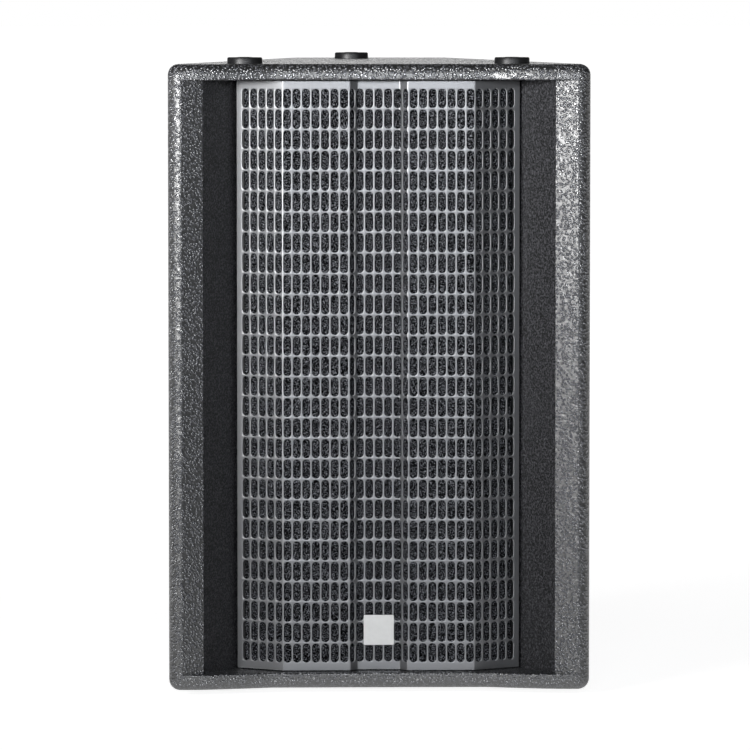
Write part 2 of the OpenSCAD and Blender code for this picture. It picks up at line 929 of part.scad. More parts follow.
module left_handle() color(plastic) in_cabinet() left_copy() handle();

module handle_screw_set() on_side() at_handle_screws() screw();

module handle_screws() {
  color(steel) in_cabinet() {
    handle_screw_set();
    left_copy() handle_screw_set();
  }
}

// Woofers

module at_woofer(s) in_cabinet() translate([0, baffle_y, mid_z + s * woofer_z]) facing_back() children();

module basket() {
  wall_r = woofer_hole_r - wall_gap;
  difference() {
    rotate_extrude() polygon([
      [woofer_d / 2, -flange_t],
      [woofer_d / 2, 0],
      [wall_r, 0],
      [wall_r, basket_step],
      [motor_r, basket_h],
      [magnet_in_r, basket_h],
      [magnet_in_r, basket_h - basket_wall],
      [spider_r - spider_land, basket_h - basket_wall],
      [spider_r - spider_land, spider_y],
      [spider_r + wall_gap, spider_y],
      [wall_r - basket_wall, basket_step],
      [wall_r - basket_wall, -flange_t]
    ]);
    for (i = [0:window_count - 1]) rotate([0, 0, 360 * i / window_count])
      translate([spider_r + basket_wall, -window_w / 2, basket_step + basket_wall])
        cube([woofer_d, window_w, spider_y - basket_step - 2 * basket_wall]);
    for (i = [0:woofer_bolts - 1]) rotate([0, 0, 360 * (i + 0.5) / woofer_bolts])
      translate([woofer_bolt_r, 0, -flange_t - fit]) cylinder(r = screw_r + fit, h = flange_t + over);
  }
}

module motor() {
  gap_out = coil_r + coil_gap;
  pole_r = coil_r - coil_wall - coil_gap;
  rotate_extrude() polygon([
    [vent_r, basket_h],
    [pole_r, basket_h],
    [pole_r, back_y],
    [magnet_in_r, back_y],
    [magnet_in_r, magnet_y],
    [gap_out, magnet_y],
    [gap_out, basket_h],
    [motor_r, basket_h],
    [motor_r, magnet_y],
    [magnet_r, magnet_y],
    [magnet_r, back_y],
    [back_plate_r, back_y],
    [back_plate_r, back_y + back_plate_h],
    [vent_r, back_y + back_plate_h]
  ]);
}

module cone() {
  rotate_extrude() polygon([
    [coil_r, cone_neck],
    [cone_r, -flange_t],
    [cone_r, -flange_t + cone_t],
    [coil_r, cone_neck + cone_t]
  ]);
}

// A thin domed disc with its rim at depth y and its crown towards the front.
module dome(rim_r, ball_r, wall, y) {
  rim_a = asin(rim_r / ball_r);
  centre = [0, y + ball_r * cos(rim_a)];
  rotate_extrude() polygon(concat(
    arc(centre, ball_r, -90, -90 + rim_a, 8),
    arc(centre, ball_r - wall, -90 + rim_a, -90, 8)
  ));
}

module dust_cap() dome(cap_r, cap_ball_r, cap_t, cone_y(cap_r) - cap_t / 3);

module voice_coil() {
  translate([0, 0, coil_front]) difference() {
    cylinder(r = coil_r, h = coil_l);
    translate([0, 0, -over]) cylinder(r = coil_r - coil_wall, h = coil_l + 2 * over);
  }
}

// Rubber half roll between the cone's edge and the basket's flange.
module surround() {
  c = [cone_r + roll_r, -flange_t];
  rotate_extrude() polygon(concat(
    [[cone_r - surround_lip, -flange_t], [cone_r - surround_lip, -flange_t - surround_t]],
    arc(c, roll_r, 190, 350, 12),
    [
      [woofer_hole_r + surround_lip, -flange_t - surround_t],
      [woofer_hole_r + surround_lip, -flange_t]
    ],
    arc(c, roll_r - surround_t, 360, 180, 12)
  ));
}

// Corrugated fabric disc that centres the voice coil.
module spider() {
  function wave(i) = spider_wave * sin(360 * spider_waves * i / spider_steps);
  function r_at(i) = coil_r + fit + (spider_r - spider_land - coil_r - fit) * i / spider_steps;
  rotate_extrude() polygon(concat(
    [for (i = [0:spider_steps]) [r_at(i), spider_y - spider_t + wave(i)]],
    [[spider_r, spider_y - spider_t], [spider_r, spider_y]],
    [for (i = [spider_steps:-1:0]) [r_at(i), spider_y + wave(i)]]
  ));
}

module upper_basket() color("#3a3c40") at_woofer(1) basket();

module lower_basket() color("#3a3c40") at_woofer(-1) basket();

module upper_motor() color("#56585c") at_woofer(1) motor();

module lower_motor() color("#56585c") at_woofer(-1) motor();

module upper_cone() color("#1c1c1d") at_woofer(1) cone();

module lower_cone() color("#1c1c1d") at_woofer(-1) cone();

module upper_dust_cap() color("#1c1c1d") at_woofer(1) dust_cap();

module lower_dust_cap() color("#1c1c1d") at_woofer(-1) dust_cap();

module upper_voice_coil() color("#b0713a") at_woofer(1) voice_coil();

module lower_voice_coil() color("#b0713a") at_woofer(-1) voice_coil();

module upper_surround() color(rubber) at_woofer(1) surround();

module lower_surround() color(rubber) at_woofer(-1) surround();

module upper_spider() color("#c89a55") at_woofer(1) spider();

module lower_spider() color("#c89a55") at_woofer(-1) spider();

// Tweeter

module at_guide() in_cabinet() translate([0, baffle_y, mid_z]) facing_back() children();

module slab(w, h, y, t) translate([-w / 2, -h / 2, y]) cube([w, h, t]);

module guide_body(w, h, r) {
  hull() {
    slab(w, h, 0, fit);
    translate([0, 0, guide_d - fit]) cylinder(r = r, h = fit, $fn = 32);
  }
}

module waveguide() {
  in_w = guide_w - 2 * guide_rim - 2 * guide_wall;
  in_h = guide_h - 2 * guide_rim - 2 * guide_wall;
  color(plastic) at_guide() difference() {
    union() {
      slab(guide_w, guide_h, -flange_t, flange_t);
      guide_body(in_w + 2 * guide_wall, in_h + 2 * guide_wall, throat_r + guide_wall);
      translate([0, 0, guide_d]) cylinder(r = throat_flange_r, h = throat_flange_t);
    }
    guide_body(in_w, in_h, throat_r);
    slab(in_w, in_h, -flange_t - over, flange_t + over);
    translate([0, 0, guide_d - fit]) cylinder(r = throat_r, h = throat_flange_t + over);
    for (x = [-1, 0, 1], z = [-1, 1]) translate([x * guide_bolt_x, z * guide_bolt_z, -flange_t - fit])
      cylinder(r = screw_r + fit, h = flange_t + over);
  }
}

module tweeter_body() {
  color("#3f4145") at_guide() translate([0, 0, tweeter_front]) rotate_extrude() polygon([
    [throat_r, 0],
    [throat_flange_r, 0],
    [tweeter_r, throat_flange_t],
    [tweeter_r, tweeter_h],
    [tweeter_well_r, tweeter_h],
    [tweeter_well_r, tweeter_h - tweeter_well],
    [throat_r, tweeter_h - tweeter_well]
  ]);
}

module tweeter_cap() {
  color("#2c2d30") at_guide() translate([0, 0, tweeter_front + tweeter_h]) rotate_extrude() polygon([
    [0, tweeter_cap_h],
    [tweeter_r - tweeter_cap_t, tweeter_cap_h],
    [tweeter_r, tweeter_cap_h - tweeter_cap_t],
    [tweeter_r, 0],
    [dome_r + dome_rim, 0],
    [dome_r + dome_rim, dome_t],
    [tweeter_well_r, dome_t],
    [tweeter_well_r, tweeter_cap_h - tweeter_cap_t],
    [0, tweeter_cap_h - tweeter_cap_t]
  ]);
}

// A thin dome whose flat rim is clamped between the driver's body and its cap.
module tweeter_diaphragm() {
  color("#c9c4b4") at_guide() translate([0, 0, tweeter_front + tweeter_h]) {
    dome(dome_r, dome_ball_r, dome_t, 0);
    difference() {
      cylinder(r = dome_r + dome_rim, h = dome_t);
      translate([0, 0, -over]) cylinder(r = dome_r - dome_t, h = dome_t + 2 * over);
    }
  }
}

module at_driver_screws() {
  for (s = [-1, 1], i = [0:woofer_bolts - 1])
    translate([0, baffle_y - flange_t, mid_z + s * woofer_z]) rotate([90, 0, 0])
      rotate([0, 0, 360 * (i + 0.5) / woofer_bolts]) translate([woofer_bolt_r, 0, 0]) children();
  for (x = [-1, 0, 1], z = [-1, 1])
    translate([x * guide_bolt_x, baffle_y - flange_t, mid_z + z * guide_bolt_z])
      rotate([90, 0, 0]) children();
}

module driver_screws() color(steel) in_cabinet() at_driver_screws() screw();

// Amplifier

// A frame on the plate's outer face, with X right as seen from behind, Y up and Z out.
module on_plate() in_cabinet() translate([0, face_y, mid_z]) rotate([0, 0, 180])
  rotate([90, 0, 0]) children();

module at_plate_screws() {
  for (x = [-1, 1], i = [0:amp_bolt_rows - 1])
    translate([x * amp_bolt_x, face_y, mid_z - amp_bolt_z + 2 * amp_bolt_z * i / (amp_bolt_rows - 1)])
      rotate([-90, 0, 0]) children();
}

module at_fitting_screws() {
  for (s = [-1, 1], x = [-1, 1])
    translate([s * socket_x + x * socket_screw_x, socket_z + x * socket_screw_z, socket_t])
    children();
  for (x = [-1, 1]) translate([x * inlet_screw_x, inlet_z, inlet_t]) children();
}

module at_lights()
  for (i = [0:light_count - 1]) translate([light_x - i * light_step, knob_z, 0]) children();

module amp_plate() {
  drill = plate_t + 2 * fit;
  color("#2a2b2e") {
    difference() {
      on_plate() translate([0, 0, -plate_t]) linear_extrude(plate_t) square([amp_w, amp_h], center = true);
      in_cabinet() at_plate_screws() pilot(plate_t + over);
      on_plate() translate([0, 0, -plate_t - fit]) {
        for (s = [-1, 1]) translate([s * socket_x, socket_z, 0]) cylinder(r = socket_r + fit, h = drill);
        translate([knob_x, knob_z, 0]) cylinder(r = shaft_r + free_gap, h = drill);
        translate([button_x, knob_z, 0]) cylinder(r = button_r + free_gap, h = drill);
        at_lights() cylinder(r = light_r + fit, h = drill);
        translate([0, inlet_z, drill / 2])
          cube([inlet_body_w + 2 * fit, inlet_body_h + 2 * fit, drill], center = true);
        translate([0, switch_z, drill / 2])
          cube([switch_body_w + 2 * fit, switch_body_h + 2 * fit, drill], center = true);
      }
      on_plate() at_fitting_screws() pilot(plate_t + inlet_t + over);
    }
  }
}

module heat_sink() {
  step = (sink_w - fin_t) / (fin_count - 1);
  color("#1f2022") on_plate() translate([0, sink_z, 0]) {
    translate([-sink_w / 2, -sink_l / 2, 0]) cube([sink_w, sink_l, sink_base]);
    for (i = [0:fin_count - 1]) translate([-sink_w / 2 + i * step, -sink_l / 2, sink_base])
      cube([fin_t, sink_l, fin_h]);
  }
}

// A steel pan that closes the electronics off from the air inside the cabinet.
module amp_cover() {
  color("#8d9093") on_plate() translate([0, 0, -plate_t - cover_d]) difference() {
    translate([-cover_w / 2, -cover_h / 2, 0]) cube([cover_w, cover_h, cover_d]);
    translate([-cover_w / 2 + cover_t, -cover_h / 2 + cover_t, cover_t])
      cube([cover_w - 2 * cover_t, cover_h - 2 * cover_t, cover_d]);
  }
}

module amp_board() {
  board_z = board_y - face_y;
  post_l = plate_y - board_y - board_t;
  color("#2f5b3c") on_plate() difference() {
    union() {
      translate([-board_w / 2, -board_h / 2, board_z]) cube([board_w, board_h, board_t]);
      for (x = [-1, 1], y = [-1, 1]) translate([x * post_x, y * post_z, board_z + board_t])
        cylinder(r = post_r, h = post_l);
      translate([-sink_block_w / 2, sink_z - sink_block_l / 2, board_z + board_t])
        cube([sink_block_w, sink_block_l, post_l]);
      for (i = [0:can_rows - 1]) translate([0, can_z + i * can_step, board_z]) {
        translate([-can_x, 0, -cap_can_h]) cylinder(r = cap_can_r, h = cap_can_h);
        translate([can_x, 0, -coil_can_h]) cylinder(r = coil_can_r, h = coil_can_h);
      }
      translate([knob_x, knob_z, board_z + board_t]) cylinder(r = pot_r, h = pot_h);
      translate([button_x, knob_z, board_z + board_t]) cylinder(r = button_r, h = button_post_h);
    }
    translate([knob_x, knob_z, -plate_t - shaft_l]) cylinder(r = shaft_r + run_fit, h = shaft_l);
  }
}

module power_transformer() {
  floor_z = -plate_t - cover_d + cover_t;
  color("#9a7a2d") on_plate() translate([0, ring_z, floor_z]) {
    rotate_extrude() translate([ring_r, ring_h / 2]) rounded_rect(ring_w, ring_h, ring_w / 3);
    cylinder(r = ring_bolt_r, h = ring_h + board_t);
    translate([0, 0, ring_h]) cylinder(r = ring_r, h = board_t);
  }
}

module mains_inlet() {
  color("#17181a") on_plate() translate([0, inlet_z, 0]) {
    difference() {
      union() {
        linear_extrude(inlet_t) rounded_rect(inlet_w, inlet_h, inlet_corner);
        translate([-inlet_body_w / 2, -inlet_body_h / 2, inlet_t - inlet_l])
          cube([inlet_body_w, inlet_body_h, inlet_l]);
      }
      translate([-inlet_in_w / 2, -inlet_in_h / 2, inlet_t - inlet_depth])
        cube([inlet_in_w, inlet_in_h, inlet_depth + over]);
      for (x = [-1, 1]) translate([x * inlet_screw_x, 0, -fit])
        cylinder(r = screw_r + fit, h = inlet_t + over);
    }
    for (i = [-1, 0, 1]) translate([i * blade_step, (1 - abs(i)) * blade_drop, inlet_t - inlet_depth])
      slab(blade_w, blade_h, 0, blade_l);
  }
}

module switch_body() {
  color("#17181a") on_plate() translate([0, switch_z, 0]) difference() {
    union() {
      linear_extrude(switch_t) rounded_rect(switch_w, switch_h, switch_corner);
      translate([-switch_body_w / 2, -switch_body_h / 2, switch_t - switch_l])
        cube([switch_body_w, switch_body_h, switch_l]);
    }
    translate([-rocker_well_w / 2, -rocker_well_h / 2, switch_t - rocker_well_d])
      cube([rocker_well_w, rocker_well_h, rocker_well_d + over]);
    translate([0, 0, rocker_y]) rotate([90, 0, 0])
      cylinder(r = rocker_pin_r + run_fit, h = rocker_well_h + 2 * rocker_pin_l, center = true);
  }
}

module power_rocker() {
  color("#b3231d") on_plate() translate([0, switch_z, rocker_y]) rotate([0, rocker_a, 0]) {
    rotate([90, 0, 0]) translate([0, 0, -rocker_h / 2]) linear_extrude(rocker_h) polygon([
      [-rocker_w / 2, -rocker_base / 2],
      [0, -rocker_base],
      [rocker_w / 2, -rocker_base / 2],
      [rocker_w / 2, rocker_top],
      [0, rocker_dip],
      [-rocker_w / 2, rocker_top]
    ]);
    rotate([90, 0, 0])
      cylinder(r = rocker_pin_r, h = rocker_well_h + 2 * rocker_pin_l - 2 * fit, center = true);
  }
}

module socket_shell() {
  linear_extrude(socket_t) rounded_rect(socket_w, socket_h, socket_corner);
  translate([0, 0, socket_t - socket_l]) cylinder(r = socket_r, h = socket_l);
}

module socket_screw_holes() {
  for (x = [-1, 1]) translate([x * socket_screw_x, x * socket_screw_z, -fit])
    cylinder(r = screw_r + fit, h = socket_t + over);
}

module at_pins(y) {
  for (a = pin_angles) rotate([0, 0, 90 + a]) translate([pin_ring_r, 0, y]) children();
}

module latch_slot(gap) {
  translate([-latch_w / 2 - gap, latch_z - latch_h / 2 - gap, socket_t - latch_l - latch_travel - free_gap])
    cube([latch_w + 2 * gap, latch_h + 2 * gap, latch_l + latch_travel + 2 * over]);
}

// Socket for the incoming signal plug.
module input_socket() {
  color("#1b1c1e") on_plate() translate([socket_x, socket_z, 0]) difference() {
    socket_shell();
    translate([0, 0, socket_t - plug_depth]) difference() {
      cylinder(r = plug_r, h = plug_depth + over);
      translate([0, 0, -over]) cylinder(r = plug_core_r, h = plug_depth + 3 * over);
    }
    at_pins(socket_t - plug_depth) cylinder(r = pin_r + fit, h = plug_depth + over);
    latch_slot(free_gap);
    socket_screw_holes();
  }
}

module input_latch() {
  color("#c4c6c8") on_plate() translate([socket_x, socket_z, 0])
    translate([-latch_w / 2, latch_z - latch_h / 2, socket_t + latch_out - latch_l])
      cube([latch_w, latch_h, latch_l]);
}

// Socket that passes the signal on, with three pins.
module link_socket() {
  color("#1b1c1e") on_plate() translate([-socket_x, socket_z, 0]) {
    difference() {
      socket_shell();
      translate([0, 0, socket_t - plug_depth]) cylinder(r = plug_r, h = plug_depth + over);
      socket_screw_holes();
    }
    at_pins(-plug_depth) cylinder(r = pin_r, h = plug_depth);
  }
}

module level_knob() {
  r = knob_d / 2;
  color("#17181a") on_plate() translate([knob_x, knob_z, 0]) {
    translate([0, 0, -plate_t - shaft_l + over]) cylinder(r = shaft_r, h = shaft_l + plate_t + knob_gap);
    translate([0, 0, knob_gap]) difference() {
      rotate_extrude() polygon([
        [0, 0],
        [r, 0],
        [r, knob_h / 3],
        [r - knob_edge, knob_h - knob_edge],
        [r - 2 * knob_edge, knob_h],
        [0, knob_h]
      ]);
      translate([-pointer_w / 2, r / 3, knob_h - pointer_d]) cube([pointer_w, r, knob_h]);
    }
  }
}

module mode_button() {
  color("#3d3f44") on_plate() translate([button_x, knob_z, 0]) {
    translate([0, 0, -button_in]) cylinder(r = button_r, h = button_in + button_out);
    translate([0, 0, -plate_t - free_gap - button_collar_t])
      cylinder(r = button_collar_r, h = button_collar_t);
  }
}

module status_lights() {
  color("#6fbf5a") on_plate() at_lights() {
    translate([0, 0, -plate_t]) cylinder(r = light_r, h = plate_t);
    translate([0, 0, -plate_t - light_collar_t]) cylinder(r = light_collar_r, h = light_collar_t);
    intersection() {
      sphere(r = light_r);
      cylinder(r = light_r, h = light_r);
    }
  }
}

module amp_screws() {
  color(steel) {
    in_cabinet() at_plate_screws() screw(short_screw_l);
    on_plate() at_fitting_screws() screw(short_screw_l);
  }
}

top_panel();
bottom_panel();
left_side_panel();
right_side_panel();
left_nosing();
right_nosing();
rear_panel();
amp_frame();
baffle_board();
left_wing();
right_wing();
cross_braces();
grille();
grille_foam();
left_grille_seal();
right_grille_seal();
badge_plate();
top_feet();
bottom_feet();
foot_screws();
rigging_inserts();
pole_socket();
pole_socket_screws();
left_handle();
right_handle();
handle_screws();
upper_basket();
upper_motor();
upper_cone();
upper_dust_cap();
upper_voice_coil();
upper_surround();
upper_spider();
lower_basket();
lower_motor();
lower_cone();
lower_dust_cap();
lower_voice_coil();
lower_surround();
lower_spider();
driver_screws();
waveguide();
tweeter_body();
tweeter_cap();
tweeter_diaphragm();
amp_plate();
heat_sink();
amp_cover();
amp_board();
power_transformer();
mains_inlet();
switch_body();
power_rocker();
input_socket();
input_latch();
link_socket();
level_knob();
mode_button();
status_lights();
amp_screws();
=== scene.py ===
import math

import bmesh
import bpy
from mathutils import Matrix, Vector, noise


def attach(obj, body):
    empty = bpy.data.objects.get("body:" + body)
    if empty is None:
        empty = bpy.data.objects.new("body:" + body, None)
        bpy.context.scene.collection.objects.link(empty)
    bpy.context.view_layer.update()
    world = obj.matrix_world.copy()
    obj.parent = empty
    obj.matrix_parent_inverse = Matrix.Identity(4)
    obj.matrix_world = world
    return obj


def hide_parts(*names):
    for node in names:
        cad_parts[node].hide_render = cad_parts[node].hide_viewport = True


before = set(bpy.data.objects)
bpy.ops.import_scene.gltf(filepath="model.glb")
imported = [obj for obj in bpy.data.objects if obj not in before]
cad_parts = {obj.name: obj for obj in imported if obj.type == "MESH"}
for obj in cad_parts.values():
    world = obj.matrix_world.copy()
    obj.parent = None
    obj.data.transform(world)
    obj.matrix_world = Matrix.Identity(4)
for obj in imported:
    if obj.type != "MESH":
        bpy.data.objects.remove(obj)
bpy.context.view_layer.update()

# Plywood shell: top, bottom, sides, rear and the two nosings, glued and routed round along every outer edge.
# Birch ply under a thick two-part structured paint, rolled and sprayed to a hard grain that hides scuffs.


def linear(hex_colour):
    parts = [int(hex_colour[i:i + 2], 16) / 255 for i in (1, 3, 5)]
    return tuple(c / 12.92 if c <= 0.04045 else ((c + 0.055) / 1.055) ** 2.4 for c in parts) + (1.0,)


def start_material(name):
    material = bpy.data.materials.new(name)
    material.use_nodes = True
    return material, material.node_tree.nodes["Principled BSDF"]


def add_node(owner, kind, inputs, **settings):
    """Adds a node to a tree or its owner; each input is a value or the output socket that feeds it."""
    tree = getattr(owner, "node_tree", owner)
    node = tree.nodes.new(kind)
    for name, value in settings.items():
        setattr(node, name, value)
    for name, value in inputs.items():
        if isinstance(value, bpy.types.NodeSocket):
            tree.links.new(value, node.inputs[name])
        else:
            node.inputs[name].default_value = value
    return node


def feed(owner, shader, **sockets):
    for name, value in sockets.items():
        socket = shader.inputs[name.replace("_", " ")]
        if isinstance(value, bpy.types.NodeSocket):
            owner.node_tree.links.new(value, socket)
        else:
            socket.default_value = value


def object_spot(material):
    """The place on the piece, in metres."""
    return add_node(material, "ShaderNodeTexCoord", {}).outputs["Object"]


def grain(material, size, detail, roughness=0.5, spot=None):
    """A noise whose grains are about size metres wide."""
    spot = object_spot(material) if spot is None else spot
    return add_node(material, "ShaderNodeTexNoise",
                    {"Vector": spot, "Scale": 1 / size, "Detail": detail, "Roughness": roughness}).outputs["Fac"]


def two_tone(material, share, dark, pale):
    """A colour between two, by a share from 0 to 1."""
    return add_node(material, "ShaderNodeMix", {0: share, 6: linear(dark), 7: linear(pale)},
                    data_type="RGBA").outputs[2]


def ranged(owner, value, low, high, to_low=0.0, to_high=1.0):
    """A value moved from one range to another and held at its ends."""
    return add_node(owner, "ShaderNodeMapRange", {"Value": value, "From Min": low, "From Max": high,
                                                  "To Min": to_low, "To Max": to_high}).outputs[0]


def combined(owner, operation, first, second):
    return add_node(owner, "ShaderNodeMath", {0: first, 1: second}, operation=operation).outputs[0]


def raised(material, height, strength, deep):
    """A bump, deep metres from its lowest to its highest."""
    return add_node(material, "ShaderNodeBump",
                    {"Height": height, "Strength": strength, "Distance": deep}).outputs[0]


# Structured paint: near black, beads 2.4 mm apart on swells of 6 mm, glossy on their crests; the crests are painted
# pale as painted highlights and the hollows kept near black as painted shade.
paint_bead, paint_swell, paint_deep = 0.0024, 0.006, 0.00053
bead_foot, bead_crest = 0.58, 0.28
structured_paint, paint = start_material("structured_paint")
beads = add_node(structured_paint, "ShaderNodeTexVoronoi",
                 {"Vector": object_spot(structured_paint), "Scale": 1 / paint_bead, "Smoothness": 0.15},
                 feature="SMOOTH_F1")
crest_and_painted_glint = ranged(structured_paint, beads.outputs["Distance"], bead_foot, bead_crest)
relief = combined(structured_paint, "ADD", crest_and_painted_glint, grain(structured_paint, paint_swell, 2.0))
# Base colour: painted highlights make the bead crests pale, and painted shade keeps the hollows between them near
# black.
feed(structured_paint, paint, Base_Color=two_tone(structured_paint, crest_and_painted_glint, "#020203", "#606166"),
     Roughness=ranged(structured_paint, crest_and_painted_glint, 0.0, 1.0, 0.42, 0.16),
     Normal=raised(structured_paint, relief, 1.0, paint_deep), IOR=2.4)

weld_gap = 1e-6
flat_angle = math.radians(0.3)
lip_round, lip_steps = 0.004, 4


def welded(node):
    """A solid's mesh with its doubled points joined and each flat face in one piece."""
    bm = bmesh.new()
    bm.from_mesh(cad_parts[node].data)
    bmesh.ops.remove_doubles(bm, verts=bm.verts, dist=weld_gap)
    bmesh.ops.dissolve_limit(bm, angle_limit=flat_angle, verts=bm.verts, edges=bm.edges)
    return bm


def mesh_from(name, bm):
    mesh = bpy.data.meshes.new(name)
    bm.to_mesh(mesh)
    bm.free()
    return mesh


def placed(name, mesh):
    """A new object in the scene, at the origin."""
    piece = bpy.data.objects.new(name, mesh)
    bpy.context.scene.collection.objects.link(piece)
    return piece


def apply_modifiers(piece):
    """Keeps what a piece's modifiers make of it as its plain mesh."""
    shown = piece.evaluated_get(bpy.context.evaluated_depsgraph_get())
    mesh = bpy.data.meshes.new_from_object(shown)
    piece.modifiers.clear()
    piece.data = mesh


def finished_copy(node, material, angle=32, body="cabinet", soften=None):
    """A welded copy of a solid, shaded smooth over its rounded edges, that stands in its place."""
    bm = welded(node)
    if soften:
        soften(bm)
    piece = placed(node + "_finished", mesh_from(node + "_finished", bm))
    piece.data.materials.append(material)
    if soften:
        rounding = piece.modifiers.new("lip_rounding", "BEVEL")
        rounding.limit_method, rounding.width, rounding.segments = "WEIGHT", lip_round, lip_steps
        apply_modifiers(piece)
    piece.data.shade_smooth()
    piece.data.set_sharp_from_angle(angle=math.radians(angle))
    flats = piece.modifiers.new("flat_faces", "WEIGHTED_NORMAL")
    flats.mode, flats.weight, flats.keep_sharp = "FACE_AREA", 100, True
    apply_modifiers(piece)
    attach(piece, body)
    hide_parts(node)
    return piece


lip_front, lip_level, lip_angle = -0.188, 1e-5, 1.4
lip_ends = ((0.165, 1.0), (0.173, 0.6), (0.184, 0.25))


def mark_lip(bm):
    """Marks the inner front edge of the top or bottom panel for rounding, less towards its corners."""
    weight = bm.edges.layers.float.new("bevel_weight_edge")
    for edge in bm.edges:
        (x0, y0, z0), (x1, y1, z1) = (vert.co for vert in edge.verts)
        if max(y0, y1) > lip_front or abs(z0 - z1) > lip_level:
            continue
        if len(edge.link_faces) == 2 and edge.calc_face_angle() > lip_angle:
            reach = max(abs(x0), abs(x1))
            edge[weight] = next((share for end, share in lip_ends if reach < end), 0.0)


ridge_front, ridge_share, ridge_angle = -0.2045, 0.72, math.radians(30)


def mark_ridge(bm):
    """Marks the upright edge where a nosing's inner bevel meets its rounded front."""
    weight = bm.edges.layers.float.new("bevel_weight_edge")
    for edge in bm.edges:
        if max(vert.co.y for vert in edge.verts) < ridge_front and edge.calc_face_angle(0) > ridge_angle:
            edge[weight] = ridge_share


for panel in ("top_panel", "bottom_panel"):
    finished_copy(panel, structured_paint, soften=mark_lip)
for panel in ("left_side_panel", "right_side_panel", "rear_panel"):
    finished_copy(panel, structured_paint)
for nosing in ("left_nosing", "right_nosing"):
    finished_copy(nosing, structured_paint, soften=mark_ridge)

# Braces and the amplifier's ring: bare birch ply, sawn and glued inside the shell.
# They are never painted, so the pale veneer and its long grain show wherever the shell is opened.


def dress(material, *nodes):
    """Gives a solid that keeps its own shape its finish."""
    for node in nodes:
        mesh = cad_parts[node].data
        mesh.materials.clear()
        mesh.materials.append(material)


# Birch veneer: fibres about 6 mm wide and 80 mm long.
fibre_long, fibre_wide = 0.0833, 0.00625
bare_ply, ply = start_material("bare_birch_ply")
along_grain = add_node(bare_ply, "ShaderNodeMapping",
                       {"Vector": object_spot(bare_ply), "Scale": (1 / fibre_long, 1 / fibre_wide, 1 / fibre_wide)})
fibres = grain(bare_ply, 1.0, 5.0, spot=along_grain.outputs[0])
feed(bare_ply, ply, Base_Color=two_tone(bare_ply, fibres, "#b48a58", "#dcbf92"), Roughness=0.62)
dress(bare_ply, "cross_braces", "amp_frame")

# Wings and baffle: the flared boards beside the grille and the board behind it that holds the drivers.
# The same ply with a matt black primer coat, sanded and rolled thin, so only a fine dust of grain shows.

# Matt primer: grit of 1.8 mm, paler on its highest grains.
matt_paint, matt = start_material("matt_black_paint")
grit = grain(matt_paint, 0.0018, 3.0, 0.6)
specks = ranged(matt_paint, grit, 0.45, 0.7)
feed(matt_paint, matt, Base_Color=two_tone(matt_paint, specks, "#161617", "#5e5e62"), Roughness=0.44,
     Normal=raised(matt_paint, grit, 1.0, 0.0009))
dress(matt_paint, "baffle_board")
for wing in ("left_wing", "right_wing"):
    finished_copy(wing, matt_paint)

# Grille: one sheet of 1.2 mm steel, punched with upright slots and folded along six lines.
# It is powder coated grey after folding, which softens the edge of every slot.
sheet = 0.0012
slot_wide, slot_long, slot_steps = 0.0074, 0.0181, 8
column_step, row_step = 0.0088, 0.0191
columns_each_side, row_count = 15, 28
front = -0.205
grille_foot, grille_head = 0.0221, 0.5701
slot_round, slot_turn = 0.00008, 0.29
bend_round = 0.0009
bend_cuts = (-1, -0.5, 0, 0.5, 1)
nudge, cut_gap, row_weld = 1e-5, 1e-7, 2e-6
# Right half of the folded sheet from above, as distances from the middle and from the cabinet's front.
sheet_line = [(0.0, 0.034), (0.0198, 0.034), (0.0264, 0.027), (0.089, 0.027), (0.13148, 0.05153)]
bend_marks = [0.0]
for (x0, y0), (x1, y1) in zip(sheet_line, sheet_line[1:]):
    bend_marks.append(bend_marks[-1] + math.hypot(x1 - x0, y1 - y0))
flat_half = bend_marks[-1]
forward, backward = Vector((0, -1, 0)), Vector((0, 1, 0))


def on_sheet_line(u):
    for k in range(len(sheet_line) - 1):
        if u <= bend_marks[k + 1] or k == len(sheet_line) - 2:
            share = (u - bend_marks[k]) / (bend_marks[k + 1] - bend_marks[k])
            return Vector(sheet_line[k]).lerp(Vector(sheet_line[k + 1]), share)


def folded(u, depth):
    """Where a point of the flat sheet goes: u from its middle, depth behind its front face."""
    side, u = (-1, -u) if u < 0 else (1, u)
    for k in range(1, len(sheet_line) - 1):
        if abs(u - bend_marks[k]) < bend_round:
            share = (u - bend_marks[k] + bend_round) / (2 * bend_round)
            start, corner, end = (on_sheet_line(bend_marks[k] - bend_round), Vector(sheet_line[k]),
                                  on_sheet_line(bend_marks[k] + bend_round))
            place = (1 - share) ** 2 * start + 2 * share * (1 - share) * corner + share ** 2 * end
            run = (1 - share) * (corner - start) + share * (end - corner)
            break
    else:
        place = on_sheet_line(u)
        ahead = min(u + nudge, flat_half)
        run = on_sheet_line(ahead) - on_sheet_line(ahead - nudge)
    run.normalize()
    place = place + depth * Vector((-run.y, run.x))
    return side * place.x, front + place.y


def slot_outline(grow):
    half = slot_wide / 2 + grow
    straight = (slot_long - slot_wide) / 2
    turns = [math.pi * i / slot_steps for i in range(slot_steps + 1)]
    ring = [(half * math.cos(turn), straight + half * math.sin(turn)) for turn in turns]
    return ring + [(-x, -z) for x, z in ring]


def look(face, ahead):
    """Turns a face to look the given way."""
    face.normal_update()
    if face.normal.dot(ahead) < 0:
        face.normal_flip()


def fill_between(bm, rim, hole, ahead):
    edges = [bm.edges.get((a, b)) or bm.edges.new((a, b)) for ring in (rim, hole)
             for a, b in zip(ring, ring[1:] + ring[:1])]
    made = bmesh.ops.triangle_fill(bm, use_beauty=True, edges=edges)
    for face in made["geom"]:
        if isinstance(face, bmesh.types.BMFace):
            look(face, ahead)


